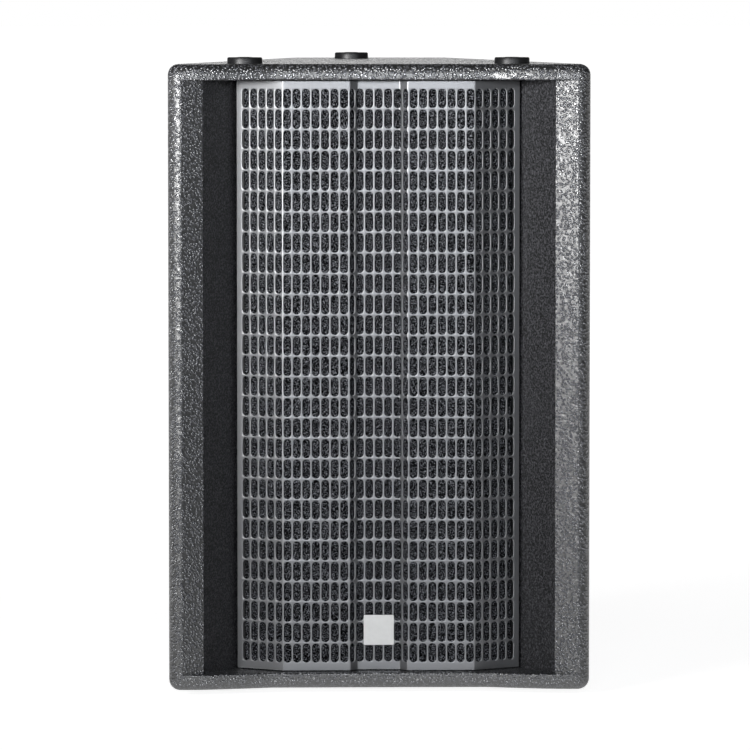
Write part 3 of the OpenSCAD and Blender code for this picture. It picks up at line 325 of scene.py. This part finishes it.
def folded_mesh(name, bm):
    """Cuts the flat sheet at every bend, folds it and turns it into a mesh."""
    for mark in bend_marks[1:-1]:
        for step in bend_cuts:
            for side in (-1, 1):
                bmesh.ops.bisect_plane(bm, geom=list(bm.verts) + list(bm.edges) + list(bm.faces), dist=cut_gap,
                                       plane_co=(side * (mark + step * bend_round), 0, 0), plane_no=(1, 0, 0))
    for vert in bm.verts:
        vert.co.x, vert.co.y = folded(vert.co.x, vert.co.y)
    return mesh_from(name, bm)


def upright(u0, u1, depth0, depth1, low, high):
    """Corners of an upright rectangle of the flat sheet."""
    return (u0, depth0, low), (u1, depth1, low), (u1, depth1, high), (u0, depth0, high)


def side_edges(bm, low, high):
    """The plain strip and the cut edge at each end of a row."""
    inner = (columns_each_side + 0.5) * column_step
    for side in (-1, 1):
        a, b = side * inner, side * flat_half
        corners = {(u, d, z): bm.verts.new((u, d, z)) for u in (a, b) for d in (0.0, sheet)
                   for z in (low, high)}
        for ring, ahead in ((upright(a, b, 0.0, 0.0, low, high), forward),
                            (upright(a, b, sheet, sheet, low, high), backward),
                            (upright(b, b, 0.0, sheet, low, high), Vector((side, 0, 0)))):
            look(bm.faces.new([corners[corner] for corner in ring]), ahead)


punched = "punched_edge"
rim_steps = ((0.0, slot_round), (slot_turn * slot_round, slot_turn * slot_round), (slot_round, 0.0), (sheet, 0.0))
bm = bmesh.new()
is_punched = bm.faces.layers.int.new(punched)
for column in range(-columns_each_side, columns_each_side + 1):
    middle = column * column_step
    rings = {}
    for depth, grow in rim_steps:
        rings[depth] = [bm.verts.new((middle + x, depth, z)) for x, z in slot_outline(grow)]
    for (near, _), (far, _) in zip(rim_steps, rim_steps[1:]):
        count = len(rings[near])
        for i in range(count):
            j = (i + 1) % count
            wall = bm.faces.new((rings[near][i], rings[near][j], rings[far][j], rings[far][i]))
            wall[is_punched] = int(near > 0)
    for depth, ahead in ((0.0, forward), (sheet, backward)):
        rim = [bm.verts.new((middle + sx * column_step / 2, depth, sz * row_step / 2))
               for sx, sz in ((-1, -1), (1, -1), (1, 1), (-1, 1))]
        fill_between(bm, rim, rings[depth], ahead)
side_edges(bm, -row_step / 2, row_step / 2)
row_piece = placed("grille_row_pattern", folded_mesh("grille_row_pattern", bm))

# Plain strips below the first row and above the last, with their cut edges.
rows_foot = (grille_foot + grille_head - row_count * row_step) / 2
rows_head = rows_foot + row_count * row_step
bm = bmesh.new()
between_columns = [(i + 0.5) * column_step for i in range(-columns_each_side - 1, columns_each_side + 1)]
marks = [-flat_half] + between_columns + [flat_half]
for low, high, cut, outward in ((grille_foot, rows_foot, grille_foot, -1), (rows_head, grille_head, grille_head, 1)):
    for a, b in zip(marks, marks[1:]):
        for ring, ahead in ((upright(a, b, 0, 0, low, high), forward),
                            (upright(a, b, sheet, sheet, low, high), backward),
                            (((a, 0, cut), (b, 0, cut), (b, sheet, cut), (a, sheet, cut)), Vector((0, 0, outward)))):
            look(bm.faces.new([bm.verts.new(corner) for corner in ring]), ahead)
    for u in (-flat_half, flat_half):
        look(bm.faces.new([bm.verts.new(corner) for corner in upright(u, u, 0, sheet, low, high)]), Vector((u, 0, 0)))
bmesh.ops.remove_doubles(bm, verts=bm.verts, dist=cut_gap)
grille = placed("grille_sheet", folded_mesh("grille_sheet", bm))

# Powder coat on steel: a grey with a little metal flake, fused to an even orange peel of 0.9 mm.
powder_coat, coat = start_material("grey_powder_coat")
cloud = grain(powder_coat, 0.1111, 3.0)
feed(powder_coat, coat, Base_Color=two_tone(powder_coat, cloud, "#8d8e90", "#9a9b9d"), Metallic=0.88, Roughness=0.42,
     Normal=raised(powder_coat, grain(powder_coat, 0.0009, 2.0), 0.25, 0.0002))

# Slot edge highlight: the same powder on the punched edges, with no flake in it, painted pale as a painted highlight
# for the light the slot edges catch; its tone varies in runs of 4 mm.
slot_edge_painted_highlight, slot_edge_highlight_shader = start_material("slot_edge_painted_highlight")
feed(slot_edge_painted_highlight, slot_edge_highlight_shader, Base_Color=two_tone(slot_edge_painted_highlight, grain(slot_edge_painted_highlight, 0.004, 2.0), "#8a8b8d", "#a4a5a7"),
     Roughness=0.5)


def tree_with(name, inputs):
    """A node tree for a Geometry Nodes modifier, with named inputs: the tree, its inputs and its result."""
    tree = bpy.data.node_groups.new(name, "GeometryNodeTree")
    tree.interface.new_socket("Geometry", in_out="INPUT", socket_type="NodeSocketGeometry")
    for label, kind in inputs:
        tree.interface.new_socket(label, in_out="INPUT", socket_type="NodeSocket" + kind)
    tree.interface.new_socket("Geometry", in_out="OUTPUT", socket_type="NodeSocketGeometry")
    return tree, tree.nodes.new("NodeGroupInput").outputs, tree.nodes.new("NodeGroupOutput").inputs


def made_plain(piece, tree, values):
    """Runs a tree on a piece and keeps the result as its plain mesh."""
    modifier = piece.modifiers.new(tree.name, "NODES")
    modifier.node_group = tree
    for item in tree.interface.items_tree:
        if item.in_out == "INPUT" and item.name in values:
            modifier[item.identifier] = values[item.name]
    apply_modifiers(piece)


rows_tree, given, result = tree_with("slot_rows", [
    ("Row", "Object"), ("Rows", "Int"), ("Row step", "Float"), ("First row", "Float"),
    ("Coat", "Material"), ("Edge highlight paint", "Material")])
up = add_node(rows_tree, "ShaderNodeCombineXYZ", {"Z": given["Row step"]})
foot = add_node(rows_tree, "ShaderNodeCombineXYZ", {"Z": given["First row"]})
line = add_node(rows_tree, "GeometryNodeMeshLine",
                {"Count": given["Rows"], "Start Location": foot.outputs[0], "Offset": up.outputs[0]})
pattern = add_node(rows_tree, "GeometryNodeObjectInfo", {"Object": given["Row"]})
spread = add_node(rows_tree, "GeometryNodeInstanceOnPoints",
                  {"Points": line.outputs[0], "Instance": pattern.outputs["Geometry"]})
both = add_node(rows_tree, "GeometryNodeJoinGeometry", {0: given["Geometry"]})
rows_tree.links.new(spread.outputs[0], both.inputs[0])
real = add_node(rows_tree, "GeometryNodeRealizeInstances", {0: both.outputs[0]})
weld = add_node(rows_tree, "GeometryNodeMergeByDistance", {"Geometry": real.outputs[0], "Distance": row_weld})
coated = add_node(rows_tree, "GeometryNodeSetMaterial", {"Geometry": weld.outputs[0], "Material": given["Coat"]})
# The punched slot walls take the paler paint: a painted highlight along every slot edge.
edge_faces = add_node(rows_tree, "GeometryNodeInputNamedAttribute", {"Name": punched}, data_type="INT")
edged = add_node(rows_tree, "GeometryNodeSetMaterial",
                 {"Geometry": coated.outputs[0], "Selection": edge_faces.outputs["Attribute"],
                  "Material": given["Edge highlight paint"]})
rows_tree.links.new(edged.outputs[0], result[0])
made_plain(grille, rows_tree, {"Row": row_piece, "Rows": row_count, "Row step": row_step,
                               "First row": rows_foot + row_step / 2, "Coat": powder_coat,
                               "Edge highlight paint": slot_edge_painted_highlight})
bpy.data.objects.remove(row_piece)
grille.data.shade_smooth()
grille.data.set_sharp_from_angle(angle=math.radians(50))
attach(grille, "cabinet")
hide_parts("grille")

# Acoustic foam: one layer of reticulated black foam, glued behind the sheet to keep dust and rain off the drivers.
# Its open cells catch light on their struts; that light is painted into its colour as pale flecks, seen through every
# slot.
foam_front, foam_back = 0.00135, 0.0070
foam_in, foam_gap = 0.0076, 0.0042
dent_deep, dents_per_metre = 0.0004, 240
foam_reach = flat_half - foam_in
foam_foot, foam_head = grille_foot + foam_gap, grille_head - foam_gap
across, tall = 120, 180
bm = bmesh.new()
skins = []
for depth in (foam_front, foam_back):
    skin = []
    for i in range(across + 1):
        u = foam_reach * (2 * i / across - 1)
        column = []
        for j in range(tall + 1):
            z = foam_foot + (foam_head - foam_foot) * j / tall
            dent = 0.0
            if depth == foam_front:
                dent = dent_deep * abs(noise.noise((u * dents_per_metre, depth, z * dents_per_metre)))
            x, y = folded(u, depth + dent)
            column.append(bm.verts.new((x, y, z)))
        skin.append(column)
    skins.append(skin)
near, far = skins
for i in range(across):
    for j in range(tall):
        bm.faces.new((near[i][j], near[i + 1][j], near[i + 1][j + 1], near[i][j + 1]))
        bm.faces.new((far[i][j], far[i][j + 1], far[i + 1][j + 1], far[i + 1][j]))
for i in range(across):
    for j, turn in ((0, 1), (tall, -1)):
        bm.faces.new((near[i][j], far[i][j], far[i + 1][j], near[i + 1][j])[::turn])
for j in range(tall):
    for i, turn in ((0, 1), (across, -1)):
        bm.faces.new((near[i][j], near[i][j + 1], far[i][j + 1], far[i][j])[::turn])
foam_mesh = mesh_from("foam_layer", bm)
foam_mesh.shade_smooth()

# Reticulated foam: cells of 1.6 mm, with pale flecks of 0.8 mm painted on as highlights of the struts.
open_foam, foam_shader = start_material("reticulated_foam")
cells = add_node(open_foam, "ShaderNodeTexVoronoi", {"Vector": object_spot(open_foam), "Scale": 1 / 0.0016})
strut_painted_highlights = ranged(open_foam, grain(open_foam, 0.0008, 1.5, 0.6), 0.55, 0.64)
feed(open_foam, foam_shader, Base_Color=two_tone(open_foam, strut_painted_highlights, "#020203", "#8e9096"), Roughness=0.85,
     Specular_IOR_Level=0.05, Normal=raised(open_foam, cells.outputs["Distance"], 0.9, 0.001))
foam_mesh.materials.append(open_foam)
foam = placed("foam_layer", foam_mesh)
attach(foam, "cabinet")
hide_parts("grille_foam")

# Rubber: the strips that the grille's long edges press on, the feet above and below and the woofers' edges.
# Moulded black rubber, a little shiny where the mould was polished, with a bloom of grey on its flats.

# Moulded rubber: bloom in patches of about 8 mm.
moulded_rubber, rubber = start_material("moulded_rubber")
bloom = grain(moulded_rubber, 0.00833, 4.0)
feed(moulded_rubber, rubber, Base_Color=two_tone(moulded_rubber, bloom, "#101011", "#1f1f21"),
     Roughness=ranged(moulded_rubber, bloom, 0.3, 0.7, 0.36, 0.5), IOR=1.52)
dress(moulded_rubber, "left_grille_seal", "right_grille_seal", "upper_surround", "lower_surround")
for feet in ("top_feet", "bottom_feet"):
    finished_copy(feet, moulded_rubber, angle=50)

# Bare plate: a square of white lacquered aluminium glued to the foot of the grille, left blank.
# A thin gloss lacquer over sheet metal, with softly broken edges.

# White lacquer: a faint ripple about 4 mm long.
white_lacquer, lacquer = start_material("white_lacquer")
ripple = grain(white_lacquer, 0.003846, 2.0)
feed(white_lacquer, lacquer, Base_Color=two_tone(white_lacquer, ripple, "#f0f0ee", "#fafaf8"), Roughness=0.3,
     Normal=raised(white_lacquer, ripple, 0.08, 0.0002))
finished_copy("badge_plate", white_lacquer, angle=40)

# Steel: screws, tapped bushes and the socket's latch, turned and zinc plated.
# Clear zinc is a soft grey metal with a faint blue cast and fine turning marks.

# Zinc plate: turning marks about 1 mm apart.
zinc_steel, zinc = start_material("zinc_plated_steel")
turned = grain(zinc_steel, 0.001111, 2.0)
feed(zinc_steel, zinc, Base_Color=two_tone(zinc_steel, turned, "#9a9da1", "#bfc2c6"),
     Roughness=ranged(zinc_steel, turned, 0.3, 0.7, 0.28, 0.45), Metallic=1.0)
for fasteners in ("foot_screws", "pole_socket_screws", "handle_screws", "driver_screws", "amp_screws",
                  "rigging_inserts"):
    finished_copy(fasteners, zinc_steel, angle=35)
finished_copy("input_latch", zinc_steel, body="latch")

# Pole socket and amplifier plate: steel cup and aluminium sheet under black powder coat.
# The coat is satin, with the fine even dimples of fused powder.

# Black powder coat: dimples of 0.8 mm.
black_coat, black = start_material("black_powder_coat")
dimples = grain(black_coat, 0.0008, 1.5)
feed(black_coat, black, Base_Color=two_tone(black_coat, dimples, "#1b1c1e", "#26272a"), Roughness=0.45,
     Normal=raised(black_coat, dimples, 0.35, 0.0002))
finished_copy("pole_socket", black_coat)
finished_copy("amp_plate", black_coat)

# Handles: a dished grip in each side, injection moulded in glass-filled nylon and held by six screws.
# The mould was spark eroded, so the skin is a dull fine grain that hides scratches.

# Glass-filled nylon: spark grain of 0.7 mm.
grained_nylon, nylon = start_material("grained_nylon")
spark = grain(grained_nylon, 0.0007, 2.0)
feed(grained_nylon, nylon, Base_Color=two_tone(grained_nylon, spark, "#1a1b1d", "#2a2b2e"), Roughness=0.52,
     Normal=raised(grained_nylon, spark, 0.5, 0.0002))
for handle in ("left_handle", "right_handle"):
    finished_copy(handle, grained_nylon)

# Woofers: two 8 inch drivers with cast frames, ferrite motors, paper cones and rubber edges.
# Only the dark behind the foam hints at them, but each part has its own finish for when the grille is off.

# Lacquered casting: sand grain of about 1.4 mm.
black_casting, casting = start_material("lacquered_casting")
sand = grain(black_casting, 0.001429, 3.0)
feed(black_casting, casting, Base_Color=two_tone(black_casting, sand, "#2b2d30", "#404347"), Roughness=0.5,
     Metallic=0.2, Normal=raised(black_casting, sand, 0.5, 0.0003))

# Plated iron: patches of about 17 mm.
plated_iron, iron = start_material("plated_iron")
feed(plated_iron, iron, Base_Color=two_tone(plated_iron, grain(plated_iron, 0.01667, 5.0), "#4b4d51", "#74777c"),
     Roughness=0.42, Metallic=0.7)

# Coated paper pulp: felted fibres of about 2.4 mm.
paper_pulp, pulp = start_material("coated_paper_pulp")
felt = grain(paper_pulp, 0.002381, 6.0, 0.7)
feed(paper_pulp, pulp, Base_Color=two_tone(paper_pulp, felt, "#121213", "#29292a"), Roughness=0.7,
     Normal=raised(paper_pulp, felt, 0.4, 0.0003))

# Copper winding: turns of wire about 1 mm apart.
wound_copper, copper = start_material("wound_copper")
turns = add_node(wound_copper, "ShaderNodeTexWave", {"Vector": object_spot(wound_copper), "Scale": 320.0},
                 bands_direction="Y")
feed(wound_copper, copper, Base_Color=two_tone(wound_copper, turns.outputs["Fac"], "#6f4424", "#c98a4b"),
     Roughness=0.35, Metallic=0.8)

# Resin-stiffened cotton: threads of about 0.6 mm.
stiff_cloth, cloth = start_material("resin_cotton")
weave = add_node(stiff_cloth, "ShaderNodeTexChecker",
                 {"Vector": object_spot(stiff_cloth), "Scale": 1 / 0.000625, "Color1": linear("#b98d48"),
                  "Color2": linear("#d3ab68")})
feed(stiff_cloth, cloth, Base_Color=weave.outputs["Color"], Roughness=0.75)
for which in ("upper", "lower"):
    finished_copy(which + "_basket", black_casting)
    finished_copy(which + "_motor", plated_iron)
    finished_copy(which + "_cone", paper_pulp, body=which + "_moving")
    finished_copy(which + "_dust_cap", paper_pulp, body=which + "_moving")
    finished_copy(which + "_voice_coil", wound_copper, body=which + "_moving")
    dress(stiff_cloth, which + "_spider")

# Tweeter: a moulded plastic waveguide between the woofers, with a compression driver bolted to its throat.
# The waveguide is smooth satin plastic; the driver is turned iron with a thin foil dome inside.

# Satin plastic: flow marks of about 29 mm.
satin_plastic, satin = start_material("satin_moulded_plastic")
flow = grain(satin_plastic, 0.02857, 3.0)
feed(satin_plastic, satin, Base_Color=two_tone(satin_plastic, flow, "#141416", "#1f2022"),
     Roughness=ranged(satin_plastic, flow, 0.3, 0.7, 0.3, 0.42))

# Formed foil: crinkles of about 3 mm.
formed_foil, foil = start_material("formed_foil")
feed(formed_foil, foil, Base_Color=two_tone(formed_foil, grain(formed_foil, 0.003333, 2.0), "#c2beb2", "#dedbd2"),
     Roughness=0.28, Metallic=1.0)
finished_copy("waveguide", satin_plastic)
finished_copy("tweeter_body", plated_iron)
finished_copy("tweeter_cap", black_casting)
finished_copy("tweeter_diaphragm", formed_foil)

# Amplifier: heat sink, steel pan, circuit board and ring transformer behind the rear plate.
# Extruded aluminium anodised black, galvanised sheet, green glass-fibre board and yellow winding tape.

# Anodised aluminium: die lines about 1 mm apart and 33 mm long.
line_wide, line_long = 0.001111, 0.03333
anodised, anode = start_material("black_anodised_aluminium")
drawn = add_node(anodised, "ShaderNodeMapping",
                 {"Vector": object_spot(anodised), "Scale": (1 / line_wide, 1 / line_wide, 1 / line_long)})
die_lines = grain(anodised, 1.0, 2.0, spot=drawn.outputs[0])
feed(anodised, anode, Base_Color=two_tone(anodised, die_lines, "#141517", "#2a2c2f"), Roughness=0.36, Metallic=0.6)

# Galvanised sheet: spangle of about 11 mm.
galvanised, galva = start_material("galvanised_sheet")
spangle = add_node(galvanised, "ShaderNodeTexVoronoi", {"Vector": object_spot(galvanised), "Scale": 1 / 0.01111})
feed(galvanised, galva, Base_Color=two_tone(galvanised, spangle.outputs["Distance"], "#9da1a4", "#c5c8ca"),
     Roughness=0.38, Metallic=1.0)

# Solder mask: green lacquer over tracks in blocks of about 3 mm.
circuit_green, circuit = start_material("solder_mask")
tracks = add_node(circuit_green, "ShaderNodeTexBrick",
                  {"Vector": object_spot(circuit_green), "Scale": 1 / 0.00625, "Mortar Size": 0.03,
                   "Color1": linear("#1f4a2f"), "Color2": linear("#25573a"), "Mortar": linear("#3d7a4d")})
feed(circuit_green, circuit, Base_Color=tracks.outputs["Color"], Roughness=0.4)

# Winding tape: laps of about 11 mm.
winding_tape, tape = start_material("winding_tape")
feed(winding_tape, tape, Base_Color=two_tone(winding_tape, grain(winding_tape, 0.01111, 3.0), "#a87f1f", "#d0a83c"),
     Roughness=0.45)
finished_copy("heat_sink", anodised)
dress(galvanised, "amp_cover")
finished_copy("amp_board", circuit_green)
finished_copy("power_transformer", winding_tape)

# Fittings on the plate: mains inlet, switch, signal sockets, knob, button and lights.
# Moulded in hard black plastic, except the red rocker and the clear green lights.
for fitting in ("mains_inlet", "switch_body", "input_socket", "link_socket"):
    finished_copy(fitting, satin_plastic)
finished_copy("level_knob", satin_plastic, body="knob")
finished_copy("mode_button", satin_plastic, body="button")

# Red plastic: haze in patches of 5 mm.
red_plastic, red = start_material("red_rocker_plastic")
feed(red_plastic, red, Base_Color=two_tone(red_plastic, grain(red_plastic, 0.005, 2.0), "#a31a14", "#c72a20"),
     Roughness=0.22)
finished_copy("power_rocker", red_plastic, body="rocker")

# Green lens: clear plastic, clouded in patches of 2 mm.
green_lens, lens = start_material("green_lens")
feed(green_lens, lens, Base_Color=two_tone(green_lens, grain(green_lens, 0.002, 1.0), "#3f8a3a", "#6fbf5a"),
     Roughness=0.15)
finished_copy("status_lights", green_lens, angle=60)

# Printed marks: a ring of ticks round the level knob, screen printed in white on the plate.
# A bar and a ring, pad printed on the two halves of the rocker, show which side is on.

# White ink: the screen's mesh of 0.4 mm.
white_ink, ink = start_material("white_screen_ink")
feed(white_ink, ink, Base_Color=two_tone(white_ink, grain(white_ink, 0.0004, 2.0), "#cfcfcc", "#e6e6e3"),
     Roughness=0.6)
ink_thick = 0.00008
tick_wide, tick_long = 0.0005, 0.0022
tick_radius, tick_count = 0.0133, 11
tick_sweep, tick_start = math.radians(300), math.radians(120)
knob_middle = (-0.03, 0.193, 0.3041)
plate_turn = (math.radians(-90), 0.0, 0.0)
bm = bmesh.new()
bmesh.ops.create_cube(bm, size=1.0)
bmesh.ops.scale(bm, vec=(tick_long, tick_wide, ink_thick), verts=bm.verts)
bmesh.ops.translate(bm, vec=(0, 0, ink_thick / 2), verts=bm.verts)
tick = placed("dial_tick_pattern", mesh_from("dial_tick_pattern", bm))
ticks_tree, given, result = tree_with("dial_ticks", [
    ("Tick", "Object"), ("Ticks", "Int"), ("Radius", "Float"), ("Sweep", "Float"), ("Start", "Float"),
    ("Middle", "Vector"), ("Turn", "Vector"), ("Ink", "Material")])
arc = add_node(ticks_tree, "GeometryNodeCurveArc",
               {"Resolution": given["Ticks"], "Radius": given["Radius"], "Start Angle": given["Start"],
                "Sweep Angle": given["Sweep"]})
stops = add_node(ticks_tree, "GeometryNodeCurveToPoints", {"Curve": arc.outputs["Curve"], "Count": given["Ticks"]})
place = add_node(ticks_tree, "GeometryNodeInputPosition", {})
outward = add_node(ticks_tree, "FunctionNodeAlignEulerToVector", {"Vector": place.outputs[0]})
pattern = add_node(ticks_tree, "GeometryNodeObjectInfo", {"Object": given["Tick"]})
spread = add_node(ticks_tree, "GeometryNodeInstanceOnPoints",
                  {"Points": stops.outputs["Points"], "Instance": pattern.outputs["Geometry"],
                   "Rotation": outward.outputs[0]})
onto = add_node(ticks_tree, "GeometryNodeTransform",
                {"Geometry": spread.outputs[0], "Translation": given["Middle"], "Rotation": given["Turn"]})
real = add_node(ticks_tree, "GeometryNodeRealizeInstances", {0: onto.outputs[0]})
printed = add_node(ticks_tree, "GeometryNodeSetMaterial", {"Geometry": real.outputs[0], "Material": given["Ink"]})
ticks_tree.links.new(printed.outputs[0], result[0])
dial = placed("dial_ticks", bpy.data.meshes.new("dial_ticks"))
made_plain(dial, ticks_tree, {"Tick": tick, "Ticks": tick_count, "Radius": tick_radius, "Sweep": tick_sweep,
                              "Start": tick_start, "Middle": knob_middle, "Turn": plate_turn, "Ink": white_ink})
bpy.data.objects.remove(tick)
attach(dial, "cabinet")

ring_outer, ring_inner, ring_steps = 0.0019, 0.0013, 32
bar_wide, bar_long = 0.0007, 0.0038
facing_out = 0.9
rocker = welded("power_rocker")
tops = sorted((face for face in rocker.faces if face.normal.y > facing_out), key=lambda face: face.calc_area())
halves = sorted(tops[-2:], key=lambda face: face.calc_center_median().x)
turns = [2 * math.pi * i / ring_steps for i in range(ring_steps)]
bar = [[(sx * bar_wide / 2, sz * bar_long / 2) for sx, sz in ((-1, -1), (1, -1), (1, 1), (-1, 1))]]
ring = [[(radius * math.cos(turn), radius * math.sin(turn)) for turn in turns] for radius in (ring_outer, ring_inner)]
bm = bmesh.new()
for half, outlines in zip(halves, (bar, ring)):
    middle, ahead = half.calc_center_median(), half.normal
    run = Vector((ahead.y, -ahead.x, 0)).normalized()
    loops = [[bm.verts.new(middle + ahead * ink_thick + run * x + Vector((0, 0, z))) for x, z in outline]
             for outline in outlines]
    if len(loops) == 1:
        faces = [bm.faces.new(loops[0])]
    else:
        outer, inner = loops
        faces = [bm.faces.new((outer[i - 1], outer[i], inner[i], inner[i - 1])) for i in range(ring_steps)]
    for face in faces:
        look(face, ahead)
rocker.free()
rocker_marks = placed("rocker_marks", mesh_from("rocker_marks", bm))
rocker_marks.data.materials.append(white_ink)
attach(rocker_marks, "rocker")

# Floor: a plain pale studio floor that fades to white and keeps the cabinet's soft shadow.
# It glows to the camera, and in mirrored light only where it lies behind the cabinet's front.
floor_reach = 60.0
bm = bmesh.new()
bmesh.ops.create_grid(bm, x_segments=1, y_segments=1, size=floor_reach)
floor_mesh = mesh_from("studio_floor", bm)
floor_white, floor_shader = start_material("studio_floor")
path = add_node(floor_white, "ShaderNodeLightPath", {})
spot = object_spot(floor_white)
along = add_node(floor_white, "ShaderNodeSeparateXYZ", {0: spot})
behind = ranged(floor_white, along.outputs["Y"], -0.6, 0.0)
mirrored = combined(floor_white, "MULTIPLY", path.outputs["Is Glossy Ray"], behind)
seen = combined(floor_white, "MAXIMUM", path.outputs["Is Camera Ray"], mirrored)
away = add_node(floor_white, "ShaderNodeVectorMath", {0: spot}, operation="LENGTH")
fade = ranged(floor_white, away.outputs["Value"], 0.5, 2.5, 0.87, 1.0)
feed(floor_white, floor_shader, Base_Color=linear("#d8d8d8"), Roughness=0.9, Emission_Color=(1, 1, 1, 1),
     Emission_Strength=combined(floor_white, "MULTIPLY", seen, fade))
floor_mesh.materials.append(floor_white)
floor = placed("studio_floor", floor_mesh)

# Light: a softbox from the left, one from above the camera, a narrow one from the right and a faint one behind.
# The room is white to the camera; to the cabinet it is dim, apart from a low bright wall straight behind.
scene = bpy.context.scene
scene.view_settings.view_transform = "Standard"
world = bpy.data.worlds.new("studio_room")
scene.world = world
world.use_nodes = True
room_level = 0.06
path = add_node(world, "ShaderNodeLightPath", {})
toward = add_node(world, "ShaderNodeTexCoord", {})
parts = add_node(world, "ShaderNodeSeparateXYZ", {0: toward.outputs["Generated"]})
wall = combined(world, "MULTIPLY", ranged(world, parts.outputs["Y"], 0.86, 1.0),
                ranged(world, parts.outputs["Z"], 0.35, 0.8, 1.0, 0.0))
lit = combined(world, "MAXIMUM", wall, room_level)
feed(world, world.node_tree.nodes["Background"], Color=(1, 1, 1, 1),
     Strength=combined(world, "MAXIMUM", lit, path.outputs["Is Camera Ray"]))


def softbox(name, place, aim, wide, tall, watts, spread=180, tint=(1, 1, 1)):
    lamp = bpy.data.lights.new(name, "AREA")
    lamp.shape = "RECTANGLE"
    lamp.size, lamp.size_y, lamp.energy = wide, tall, watts
    lamp.spread = math.radians(spread)
    lamp.color = tint
    lamp_object = placed(name, lamp)
    lamp_object.location = place
    lamp_object.visible_camera = False
    lamp_object.rotation_euler = (Vector(aim) - Vector(place)).to_track_quat("-Z", "Y").to_euler()


softbox("key_softbox", (-1.5, -2.2, 0.86), (-0.12, -0.15, 0.86), 1.0, 0.5, 7.4, spread=48)
softbox("front_softbox", (0.05, -3.4, 1.0), (0, -0.15, 0.42), 1.2, 0.5, 3.35, spread=60,
        tint=(0.92, 0.95, 1.0))
softbox("right_fill", (1.3, -2.5, 0.9), (0.05, -0.15, 0.4), 0.3, 0.6, 4.6, tint=(0.9, 0.94, 1.0))
softbox("back_softbox", (0, 2.6, 1.0), (0, 0, 0.6), 0.8, 0.8, 0.17, spread=60)

# Camera: a long lens from 5.5 m, a little to the left and just above the cabinet's top.
camera_data = bpy.data.cameras.new("camera")
camera = placed("camera", camera_data)
scene.camera = camera
away, turn, eye = 5.5, math.radians(-1.38), 0.6749
camera.location = (away * math.sin(turn), -away * math.cos(turn), eye)
aim_at = Vector((-0.0032, -0.16, 0.2964))
camera.rotation_euler = (aim_at - camera.location).to_track_quat("-Z", "Y").to_euler()
camera_data.lens = 276.0
camera_data.sensor_width = 36.0
camera_data.clip_end = 200.0
